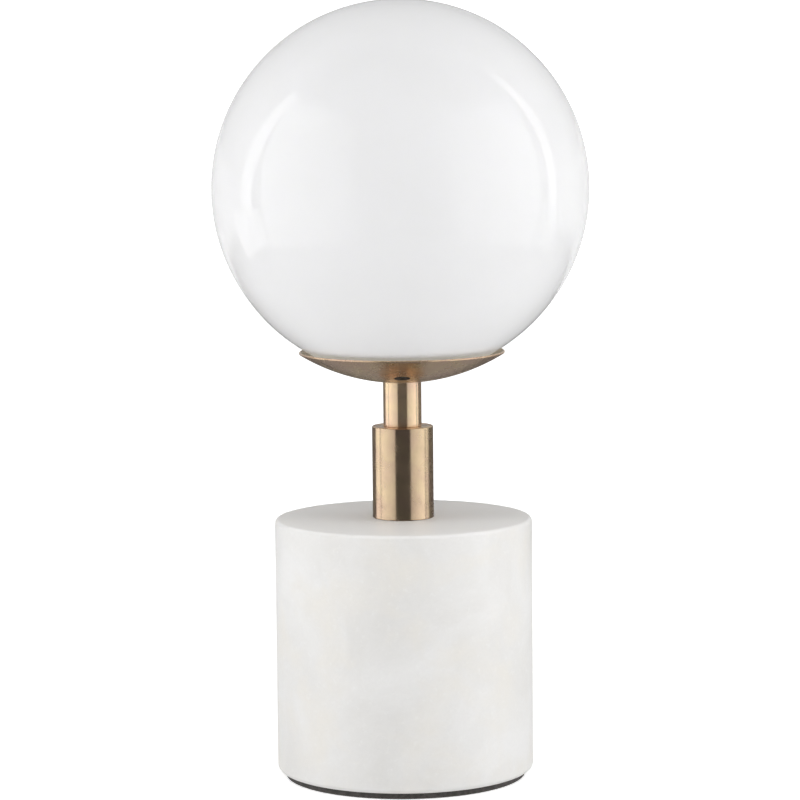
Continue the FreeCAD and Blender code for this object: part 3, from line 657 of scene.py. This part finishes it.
def hex_nuts(material):
    """Nuts with a 30 degree chamfer on both faces and a countersunk thread."""
    low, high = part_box("base_nut")
    flat_r = (high.y - low.y) / 2 / MM
    corner_r, crown_r = flat_r / math.cos(math.pi / 6), 0.97 * flat_r
    chamfer = (corner_r - crown_r) * math.tan(math.pi / 6)
    bore, countersink = round_size("threaded_rod")[0], 0.5
    for name, node in (("clamp_nut", "base_nut"), ("dish_nut", "saucer_nut")):
        _, bottom, top = round_size(node)
        heights = [bottom + chamfer * k / 5 for k in range(6)]
        heights += [top - chamfer * k / 5 for k in range(5, -1, -1)]

        def six_sided(r, angle, z, bottom=bottom, top=top):
            if r < corner_r:
                return r, z
            flat = flat_r / math.cos(angle % (math.pi / 3) - math.pi / 6)
            return min(flat, crown_r + min(z - bottom, top - z) / math.tan(math.pi / 6)), z

        outline = [(bore + countersink, bottom)] + [(corner_r, z) for z in heights]
        outline += [(bore + countersink, top), (bore, top - countersink), (bore, bottom + countersink)]
        turned_piece(name, outline, node, material, "zinc_steel", segments=96, shape=six_sided)


def rod(material):
    radius, bottom, top = round_size("threaded_rod")
    chamfer, bore = 0.4, 3.75
    outline = [
        (radius - chamfer, bottom),
        (radius, bottom + chamfer),
        (radius, top - chamfer),
        (radius - chamfer, top),
        (bore, top),
        (bore, bottom),
    ]
    turned_piece("hollow_rod", outline, "threaded_rod", material, "zinc_steel", segments=64)


def leaf(path, width, thickness):
    """A strip of sheet along a path of (r, z) in mm in the XZ plane, its edges rounded."""
    signs = ((-1, -1), (1, -1), (1, 1), (-1, 1))
    corners = [(sx * width / 2, sz * thickness / 2, thickness * 0.3) for sx, sz in signs]
    section = rounded(corners, steps=3)
    points = [Vector((r, 0, z)) for r, z in path]
    bm = bmesh.new()
    loops = []
    for i, point in enumerate(points):
        along = (points[min(i + 1, len(points) - 1)] - points[max(i - 1, 0)]).normalized()
        out = along.cross(Vector((0, 1, 0)))
        loops.append([bm.verts.new((point + Vector((0, y, 0)) + out * n) * MM) for y, n in section])
    for low, high in zip(loops, loops[1:]):
        for k in range(len(section)):
            m = (k + 1) % len(section)
            bm.faces.new((low[k], low[m], high[m], high[k]))
    bm.faces.new(loops[0])
    bm.faces.new(loops[-1])
    return finish_mesh("leaf", bm)


def leaf_springs(material):
    """The disc with three leaf arms that centre the globe, each bent smoothly."""
    width, thickness = 6.4, 0.9
    disc_r = 9.84
    outer_r = 33.46
    rise_r, rise_z = 30.0, 197.63       # where the arm leaves the dish's slope
    bend_z = 203.0                      # where it turns upright, inside the globe's opening
    lip_r = outer_r - thickness / 2
    _, floor, tip_z = round_size("spring_holder")
    bore = round_size("threaded_rod")[0] + ROD_PLAY
    path = rounded(
        [
            (disc_r - 2, floor + thickness / 2),
            (disc_r, floor + thickness / 2, 2.0),
            (rise_r, rise_z + thickness / 2, 2.4),
            (lip_r, bend_z, 3.0),
            (lip_r, tip_z - 3.0, 2.0),
            (lip_r - 2.5, tip_z),
        ],
        steps=8,
    )
    parts = []
    for k in range(3):
        arm = leaf(path, width, thickness)
        arm.data.transform(Matrix.Rotation(math.radians(-30 + 120 * k), 4, "Z"))
        parts.append(arm)
    ceiling = floor + thickness
    outline = rounded(
        [(bore, floor, 0.1), (disc_r, floor, 0.25), (disc_r, ceiling, 0.25), (bore, ceiling, 0.1)], steps=3
    )
    parts.append(lathe("disc", outline, segments=96))
    piece = joined("leaf_springs", parts, "root")
    flats_first(piece)
    dressed(piece, material, "spring_holder", slot="spring_steel")


def bushing(material):
    """The flanged bushing where the cord comes in, its bore open."""
    low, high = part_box("cord_bushing")
    length = (high.y - low.y) / MM
    flange_r, bore, flange = high.x / MM, 3.1, 2.5
    outline = rounded(
        [
            (bore, 0, 0.3),
            (CORD_HOLE_R, 0, 0.4),
            (CORD_HOLE_R, length - flange, 0.2),
            (flange_r, length - flange, 0.2),
            (flange_r, length, 1.0),
            (bore, length, 0.9),
        ],
        steps=6,
    )
    piece = turned_piece("cord_grommet", outline, "cord_bushing", material, "bushing_plastic", segments=96)
    laid_back(piece, low.y, (low.z + high.z) / 2)


# Lampholder and bulb ---------------------------------------------------------------------------------------


def fluted(low, high, count=40, depth=0.55, from_r=17):
    """A shape that cuts rounded grip flutes between two levels into what lies outside a radius."""

    def shape(r, angle, z):
        if r < from_r or not low < z < high:
            return r, z
        fade = min(1.0, (z - low) / 0.8, (high - z) / 0.8)
        return r - depth * fade * (0.5 - 0.5 * math.cos(angle * count)) ** 2, z

    return shape


def rolled_thread(depth, low, high, from_r):
    """A shape that rolls a round screw thread into a thin wall, fading out at both ends."""

    def shape(r, angle, z):
        if r < from_r:
            return r, z
        fade = max(0.0, min(1.0, (z - low) / THREAD_PITCH, (high - z) / THREAD_PITCH))
        wave = 0.5 - 0.5 * math.cos(TAU * (z / THREAD_PITCH - angle / TAU))
        return r - depth * fade * wave, z

    return shape


def moulded_piece(name, outline, node, material, flutes):
    """A fluted piece of the lampholder."""
    bent = subdivided(outline, 0.5)
    return turned_piece(name, bent, node, material, "phenolic", segments=320, shape=flutes)


def lampholder(plastic, steel):
    """The moulded cap and barrel, with grip flutes, and the cap's slotted lock screw."""
    radius, bottom, top = round_size("lampholder_cap")
    hub_r, hub_top, dome_top = 8.0, bottom + 9.0, bottom + 15.0
    rod_r = round_size("threaded_rod")[0]
    outline = rounded(
        [
            (rod_r, bottom, 0.2),
            (hub_r, bottom, 0.6),
            (hub_r, hub_top, 1.0),
            (radius, dome_top, 3.5),
            (radius, top, 0.3),
            (radius - HOLDER_WALL, top),
            (radius - HOLDER_WALL, dome_top + HOLDER_WALL, 1.5),
            (hub_r, hub_top + HOLDER_WALL),
            (rod_r, hub_top + HOLDER_WALL),
        ],
        steps=6,
    )
    flutes = fluted(dome_top + 2, top - 2.5)
    cap = moulded_piece("lampholder_top_cap", outline, "lampholder_cap", plastic, flutes)
    low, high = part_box("lampholder_lock_screw")
    screw_r, length = (high.x - low.x) / 2 / MM, (high.y - low.y) / MM
    screw_z = (low.z + high.z) / 2
    drill(cap, rod_mesh(screw_r, (0, 3, screw_z / MM), (0, 12, screw_z / MM)))
    outline = rounded(
        [(0, 0), (screw_r * 0.6, 0), (screw_r, 0.6), (screw_r, length, 0.25), (0, length)], steps=3
    )
    screw = turned_piece(
        "slotted_lock_screw", outline, "lampholder_lock_screw", steel, "zinc_steel", segments=48
    )
    drill(screw, block_mesh((0, 0, length), (4, 0.5, 1.4)))
    laid_back(screw, low.y, screw_z)

    radius, bottom, top = round_size("lampholder_barrel")
    bore, mouth = radius - HOLDER_WALL, round_size("screw_shell")[0]
    outline = rounded(
        [
            (bore, bottom, 0.2),
            (radius, bottom, 0.3),
            (radius, top, 0.9),
            (mouth, top, 0.7),
            (mouth, top - HOLDER_WALL, 0.3),
            (bore, top - HOLDER_WALL),
        ],
        steps=6,
    )
    flutes = fluted(bottom + 1.5, bottom + 12)
    moulded_piece("lampholder_skirt", outline, "lampholder_barrel", plastic, flutes)


def insert_and_terminals(porcelain, brass):
    """The porcelain insert and the two slotted screws through it."""
    radius, bottom, top = round_size("lampholder_insert")
    outline = rounded([(0, bottom), (radius, bottom, 0.5), (radius, top, 0.6), (0, top)], steps=4)
    insert = turned_piece(
        "porcelain_insert", outline, "lampholder_insert", porcelain, "porcelain", segments=160
    )
    low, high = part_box("terminal_screws")
    head_r = (high.y - low.y) / 2 / MM
    shank_r = head_r - 0.75
    places = [side * (high.x / MM - head_r) for side in (-1, 1)]
    drill(insert, *(rod_mesh(shank_r, (x, 0, bottom - 1), (x, 0, top + 1)) for x in places))

    head_bottom, head_top = low.z / MM, bottom
    outline = rounded(
        [
            (0, head_bottom),
            (head_r, head_bottom, 0.5),
            (head_r, head_top, 0.1),
            (shank_r, head_top),
            (shank_r, top, 0.3),
            (0, top),
        ],
        steps=4,
    )
    screws = []
    for x in places:
        screw = lathe("screw", outline, segments=64)
        drill(screw, block_mesh((0, 0, head_bottom), (5, 0.7, 1.6)))
        screw.data.transform(Matrix.Translation((x * MM, 0, 0)))
        screws.append(screw)
    pair = joined("slotted_terminals", screws, "root")
    dressed(pair, brass, "terminal_screws", slot="contact_brass")


def shell_and_contact(brass):
    """The rolled screw shell and the centre contact below it."""
    radius, bottom, top = round_size("screw_shell")
    wall, hole_r, lead_in, lead_out = 0.5, 6.0, 2.5, 1.2
    outline = rounded(
        [
            (hole_r, bottom),
            (radius, bottom, 1.4),
            (radius, top),
            (radius - wall, top),
            (radius - wall, bottom + wall, 0.9),
            (hole_r, bottom + wall),
        ],
        steps=6,
    )
    turned_piece(
        "rolled_screw_shell",
        subdivided(outline, 0.2),
        "screw_shell",
        brass,
        "contact_brass",
        segments=128,
        shape=rolled_thread(0.9, bottom + lead_in, top - lead_out, radius - 2),
    )
    radius, bottom, top = round_size("centre_contact")
    step = bottom + 0.8
    outline = rounded(
        [(0, bottom), (radius, bottom, 0.2), (radius, step, 0.3), (radius / 2, top, 0.7), (0, top)], steps=5
    )
    turned_piece("centre_button", outline, "centre_contact", brass, "contact_brass", segments=64)


def bulb_foot(brass, black, aluminium):
    """The bulb's solder contact, its black insulator and its threaded cap."""
    contact_r, tip, bottom = round_size("bulb_contact")
    outline = rounded([(0, tip), (contact_r * 0.6, tip, 1.2), (contact_r, bottom), (0, bottom)], steps=6)
    turned_piece("solder_contact", outline, "bulb_contact", brass, "contact_brass", "bulb", segments=64)

    plug_r, bottom, plug_top = round_size("bulb_insulator")
    cap_r, cap_bottom, cap_top = round_size("bulb_cap")
    outline = rounded(
        [
            (0, bottom),
            (contact_r, bottom, 0.2),
            (plug_r - 1.2, cap_bottom - 0.7, 1.5),
            (plug_r, cap_bottom, 0.3),
            (plug_r, plug_top),
            (0, plug_top),
        ],
        steps=5,
    )
    turned_piece("vitrite_cone", outline, "bulb_insulator", black, "insulator_glass", "bulb", segments=96)

    outline = rounded(
        [(plug_r, cap_bottom), (cap_r, cap_bottom, 0.9), (cap_r, cap_top, 0.5), (plug_r, cap_top)], steps=5
    )
    turned_piece(
        "threaded_cap",
        subdivided(outline, 0.2),
        "bulb_cap",
        aluminium,
        "bulb_aluminium",
        "bulb",
        segments=128,
        shape=rolled_thread(0.85, cap_bottom + 1.0, cap_top - 2.2, plug_r + 0.3),
    )


def blown_bulb(glass):
    """The clear envelope: a ball that runs through a hollow curve into the neck."""
    radius, bottom, top = round_size("bulb_glass")
    wall, drop = 0.8, 18.4
    neck_r = round_size("bulb_cap")[0] - 0.2
    centre = top - radius
    shoulder_r = math.sqrt(radius**2 - drop**2)
    hollow = (shoulder_r - neck_r) * radius / (radius - shoulder_r)
    neck_top = centre - drop - hollow * drop / radius
    lean = math.degrees(math.atan2(drop, shoulder_r))

    def skin(inset):
        low = [(neck_r - inset, bottom), (neck_r - inset, neck_top)]
        bend = arc((neck_r + hollow, neck_top), hollow + inset, 180, 180 - lean, 12)
        ball = arc((0, centre), radius - inset, -lean, 90, 64)
        ball[-1] = (0, top - inset)
        return low + bend[1:] + ball[1:]

    outline = skin(0.01) + skin(wall)[::-1]
    turned_piece("blown_bulb", outline, "bulb_glass", glass, "clear_glass", "bulb", segments=160)


def stem_and_filaments(ceramic, phosphor):
    """The stem inside the bulb, and four yellow strands that a ring joins at the top."""
    disc_r, bottom, top = round_size("bulb_stem")
    stem_r, disc_bottom = 3.5, top - 1.2
    outline = rounded(
        [
            (0, bottom),
            (stem_r, bottom),
            (stem_r, disc_bottom, 0.5),
            (disc_r, disc_bottom, 0.3),
            (disc_r, top, 0.3),
            (0, top),
        ],
        steps=5,
    )
    turned_piece("flared_stem", outline, "bulb_stem", ceramic, "porcelain", "bulb", segments=96)

    ring_r, bottom, top = round_size("bulb_filaments")
    count, thick, ring_height = 4, 0.9, 1.0
    middle = ring_r - thick
    end = top - 0.4
    outline = rounded([(0, bottom), (thick, bottom, 0.3), (thick, end, 0.6), (0, end)], steps=4)
    parts = []
    for k in range(count):
        strand = lathe("strand", outline, segments=32)
        turn = TAU * k / count
        place = (middle * MM * math.cos(turn), middle * MM * math.sin(turn), 0)
        strand.data.transform(Matrix.Translation(place))
        parts.append(strand)
    inner_r, ring_bottom = middle - thick, top - ring_height
    corners = ((inner_r, ring_bottom), (ring_r, ring_bottom), (ring_r, top), (inner_r, top))
    parts.append(lathe("ring", rounded([(*corner, 0.3) for corner in corners], steps=3), segments=96))
    strands = joined("glowing_strands", parts, "bulb")
    dressed(strands, phosphor, "bulb_filaments", slot="filament_yellow")


def dress_solids(looks):
    """Finishes for the CAD solids that are shown as they are."""
    for node, material in looks.items():
        solid = frame["nodes"][node]
        solid.data.materials.clear()
        solid.data.materials.append(material)


# Surroundings ----------------------------------------------------------------------------------------------


def paper(name, near_glow, far_glow):
    """Lit white paper, whose glow goes from one strength round the lamp to another far from it."""
    paint = Paint(name, Roughness=0.75, Emission_Color=(1, 1, 1, 1))
    paint.set("Base Color", paint.mix(paint.noise(300), (0.90, 0.90, 0.90), (0.92, 0.92, 0.92)))
    distance = paint.tree.nodes.new("ShaderNodeVectorMath")
    distance.operation = "LENGTH"
    paint.feed(distance.inputs[0], paint.place)
    paint.set("Emission Strength", paint.levels(distance.outputs["Value"], 0.25, 0.9, near_glow, far_glow))
    return paint.material


def room():
    """A pale floor and the pale wall that it sweeps up into, which the camera sees, and a dimmer floor of the
    same size, which gives the light that comes from below."""
    floor_glow, wall_glow, bounce_near, bounce_far = 0.62, 0.95, 0.06, 0.60
    edge, sweep_r, wall_top, depth, surface = 3400, 1200, 3600, -50, -0.2
    rings = (300, 800, 1600, 2600, edge)
    disc = [(0, surface)] + [(r, surface) for r in rings] + [(edge, depth), (0, depth)]
    wall_r = edge + sweep_r
    sweep = arc((edge, sweep_r + surface), sweep_r, -90, 0, 16)
    sweep += [(wall_r, wall_top), (wall_r + 100, wall_top), (wall_r + 100, depth), (edge, depth)]
    lower_disc = [(r, z - 60) for r, z in disc]
    floor = dressed(lathe("studio_floor", disc, segments=128), paper("floor_paper", floor_glow, wall_glow))
    wall = dressed(lathe("studio_wall", sweep, segments=128), paper("wall_paper", wall_glow, wall_glow))
    bounce_paper = paper("bounce_paper", bounce_near, bounce_far)
    bounce = dressed(lathe("floor_bounce", lower_disc, segments=128), bounce_paper)
    for thing in (floor, wall, bounce):
        thing.visible_glossy = False
    for thing in (floor, wall):
        thing.visible_diffuse = thing.visible_shadow = False
    bounce.visible_camera = False


def panel(name, azimuth, distance, width, bottom, top, front, rear, lean=0.0):
    """An upright light panel facing the lamp, its strength going from its front edge to its rear one.

    azimuth is in degrees from the front, to the right. lean tips its top towards the front, round a point
    level with the globe.
    """
    globe_level = 0.283
    half = width / 2
    side = 1 if azimuth > 0 else -1
    corners = [(-half, 0, bottom), (half, 0, bottom), (half, 0, top), (-half, 0, top)]
    mesh = bpy.data.meshes.new(name)
    mesh.from_pydata(corners, [], [(0, 1, 2, 3)])
    thing = add_object(name, mesh)
    level = Matrix.Translation((0, 0, globe_level))
    tip = level @ Matrix.Rotation(math.radians(-side * lean), 4, "Y") @ level.inverted()
    turn = Matrix.Rotation(math.radians(azimuth), 4, "Z")
    thing.matrix_world = turn @ Matrix.Translation((0, -distance, 0)) @ tip
    material = bpy.data.materials.new(name)
    material.use_nodes = True
    nodes = Nodes(material.node_tree)
    nodes.tree.nodes.clear()
    place = nodes.add("ShaderNodeTexCoord").outputs["Object"]
    strength = nodes.levels(nodes.split(place)["X"], -half * side, half * side, front, rear)
    light = nodes.add("ShaderNodeEmission", Strength=strength)
    nodes.add("ShaderNodeOutputMaterial", Surface=light.outputs["Emission"])
    dressed(thing, material)
    thing.visible_camera = thing.visible_shadow = False
    return thing


def panels():
    """Soft boxes at both sides; streaks, which are the globe's two curved highlights and light nothing; and
    low strips, which make the fine bright edges on the brass."""
    for name, azimuth in (("softbox_left", -59.5), ("softbox_right", 60.4)):
        panel(name, azimuth, distance=1.5, width=1.81, bottom=-0.5, top=1.7, front=0.64, rear=1.22)
    streaks = (
        panel("streak_left", -103.7, 1.4, width=0.26, bottom=0.10, top=1.62, front=1.7, rear=1.7, lean=12),
        panel("streak_right", 102.1, 1.4, width=0.20, bottom=0.10, top=1.9, front=1.6, rear=1.6),
    )
    for streak in streaks:
        streak.visible_diffuse = False
    panel("strip_left", -106.4, 1.4, width=0.70, bottom=-0.3, top=0.10, front=1.2, rear=1.2)
    panel("strip_right", 102.2, 1.4, width=0.435, bottom=-0.3, top=0.10, front=0.78, rear=0.78)


def dark_card(name, radius, start, end, bottom, top):
    """A curved dark card behind the stem, in mm and degrees from the front, which only reflections see."""
    steps = 48
    bm = bmesh.new()
    edges = []
    for k in range(steps + 1):
        angle = math.radians(start + (end - start) * k / steps)
        x, y = radius * math.sin(angle) * MM, -radius * math.cos(angle) * MM
        edges.append([bm.verts.new((x, y, z * MM)) for z in (bottom, top)])
    for first, second in zip(edges, edges[1:]):
        bm.faces.new((first[0], second[0], second[1], first[1]))
    felt = plain(name, (0.15, 0.145, 0.14), (0.17, 0.165, 0.16), 5, 0.9, 0.01)
    card = dressed(finish_mesh(name, bm), felt)
    card.visible_camera = card.visible_diffuse = card.visible_shadow = card.visible_transmission = False


def soft_light(name, place, size, power):
    """A round soft box aimed at the lamp, which isn't seen in reflections."""
    data = bpy.data.lights.new(name, "AREA")
    data.shape, data.size, data.energy = "DISK", size, power
    thing = bpy.data.objects.new(name, data)
    bpy.context.scene.collection.objects.link(thing)
    place, aim = Vector(place), Vector((0, 0, 0.25))
    turn = (place - aim).to_track_quat("Z", "Y").to_matrix().to_4x4()
    thing.matrix_world = Matrix.Translation(place) @ turn
    thing.visible_glossy = thing.visible_camera = False


def world():
    """A bright wall behind, a dim room in front and a dark table, paler straight below, as only reflections
    see them."""
    room_front, backdrop_level, wall_behind, table_behind, table_under = 0.07, 0.72, 0.5, 0.1, 0.30
    surroundings = bpy.data.worlds.new("studio")
    bpy.context.scene.world = surroundings
    surroundings.use_nodes = True
    nodes = Nodes(surroundings.node_tree)
    direction = nodes.split(nodes.add("ShaderNodeTexCoord").outputs["Generated"])
    backdrop = nodes.soft_levels(direction["Y"], 0.3, 0.45, room_front, backdrop_level)
    above = nodes.soft_levels(direction["Y"], -0.1, 0.35, room_front, wall_behind)
    below = nodes.soft_levels(direction["Y"], -0.1, 0.35, room_front, table_behind)
    upper = nodes.soft_levels(direction["Z"], 0.06, 0.09, backdrop, above)
    under = nodes.soft_levels(direction["Z"], -0.6, -0.3, table_under, below)
    strength = nodes.soft_levels(direction["Z"], -0.27, -0.2, under, upper)
    background = nodes.tree.nodes["Background"]
    nodes.feed(background.inputs["Strength"], strength)
    background.inputs["Color"].default_value = (1, 1, 1, 1)


def camera():
    data = bpy.data.cameras.new("camera")
    data.sensor_width = SENSOR
    data.lens = FOCAL * SENSOR / IMAGE
    thing = bpy.data.objects.new("camera", data)
    bpy.context.scene.collection.objects.link(thing)
    tilt = Matrix.Rotation(math.radians(90 - CAMERA_TILT), 4, "X")
    roll = Matrix.Rotation(math.radians(-CAMERA_ROLL), 4, "Z")
    thing.matrix_world = Matrix.Translation(CAMERA_PLACE) @ tilt @ roll
    bpy.context.scene.camera = thing


# The whole picture -----------------------------------------------------------------------------------------


def studio():
    camera()
    bpy.context.scene.view_settings.view_transform = "Standard"
    world()
    room()
    panels()
    dark_card("card_behind", radius=200, start=112, end=240, bottom=80, top=197)
    soft_light("overhead", place=(0, -0.3, 1.75), size=1.4, power=5.3)
    soft_light("front_top", place=(0, -1.2, 1.35), size=1.2, power=8.2)
    soft_light("side_left", place=(-1.5, -0.1, 0.62), size=1.2, power=5.8)
    soft_light("side_right", place=(1.5, -0.1, 0.62), size=1.2, power=6.3)


def lamp():
    rubber = plain("foot_rubber_look", (0.055, 0.050, 0.046), (0.085, 0.078, 0.072), 2.0, 0.75, 0.05)
    sleeve_brass = antique_brass("antique_brass_look", rough=0.23, patina=0.15, brush=0.0005)
    # Painted light: the neck is the sleeve's brass made 1.17 times lighter, as if more lit.
    painted_lit_neck_brass = antique_brass(
        "neck_brass_painted_lit_look", rough=0.21, patina=0.06, brush=0.0012, metallic=0.94, bright=1.17
    )
    dish_brass = antique_brass("dish_brass_look", rough=0.25, patina=0.0, brush=0.0001, metallic=0.96)
    # Painted shade: a darker, duller brass for the dish's inside, partly its unpolished face and partly the
    # shade under the globe.
    dull_shaded_inside = plain("dull_shaded_brass_look", (0.44, 0.37, 0.27), (0.38, 0.32, 0.23), 9, 0.42, 0.01, Metallic=0.6)
    # Painted shade: a near-black brass for the vents' walls, standing in for the shade seen in the holes.
    dark = plain("vent_shade_look", (0.075, 0.06, 0.045), (0.05, 0.04, 0.032), 2, 0.4, 0.01, Metallic=0.5)
    silicone = plain("seat_look", (0.74, 0.73, 0.70), (0.80, 0.79, 0.77), 4, 0.5, 0.02)
    steel = plain("zinc_look", (0.60, 0.61, 0.62), (0.70, 0.71, 0.71), 4, 0.30, 0.003, Metallic=1.0)
    contact = plain("contact_look", (0.80, 0.62, 0.30), (0.71, 0.54, 0.26), 5, 0.28, 0.003, Metallic=1.0)
    ceramic = plain("porcelain_look", (0.83, 0.82, 0.78), (0.87, 0.86, 0.83), 4, 0.42, 0.01)
    spring = plain("spring_look", (0.46, 0.46, 0.45), (0.55, 0.54, 0.52), 7, 0.30, 0.003, Metallic=1.0)
    phenolic = plain("phenolic_look", (0.022, 0.020, 0.019), (0.034, 0.031, 0.029), 6, 0.27, 0.006)
    vitrite = plain("vitrite_look", (0.018, 0.016, 0.026), (0.030, 0.027, 0.040), 3, 0.16, 0.004)
    aluminium = plain("cap_look", (0.80, 0.80, 0.79), (0.87, 0.87, 0.86), 5, 0.24, 0.003, Metallic=1.0)
    phosphor = plain("phosphor_look", (0.86, 0.58, 0.15), (0.92, 0.68, 0.24), 1.5, 0.55, 0.01)
    nylon = plain("nylon_look", (0.52, 0.42, 0.29), (0.58, 0.48, 0.34), 5, 0.48, 0.01)
    black_lead = plain("black_lead_look", (0.030, 0.030, 0.032), (0.045, 0.044, 0.044), 3, 0.42, 0.01)
    white_lead = plain("white_lead_look", (0.80, 0.80, 0.78), (0.85, 0.85, 0.83), 3, 0.42, 0.01)
    green_lead = plain("green_lead_look", (0.07, 0.33, 0.12), (0.10, 0.38, 0.15), 3, 0.42, 0.01)

    marble_base(marble())
    foot(rubber)
    sleeve(sleeve_brass)
    neck(painted_lit_neck_brass)
    dish(dish_brass, dull_shaded_inside, dark)
    seat(silicone)
    globe(opal_glass())
    washers(steel)
    hex_nuts(steel)
    rod(steel)
    leaf_springs(spring)
    lampholder(phenolic, steel)
    insert_and_terminals(ceramic, contact)
    shell_and_contact(contact)
    bulb_foot(contact, vitrite, aluminium)
    blown_bulb(clear_glass())
    stem_and_filaments(ceramic, phosphor)
    bushing(nylon)
    dress_solids(
        {
            "lock_washer": steel,
            "ground_terminal": contact,
            "lead_line": black_lead,
            "lead_neutral": white_lead,
            "lead_ground": green_lead,
        }
    )


studio()
lamp()
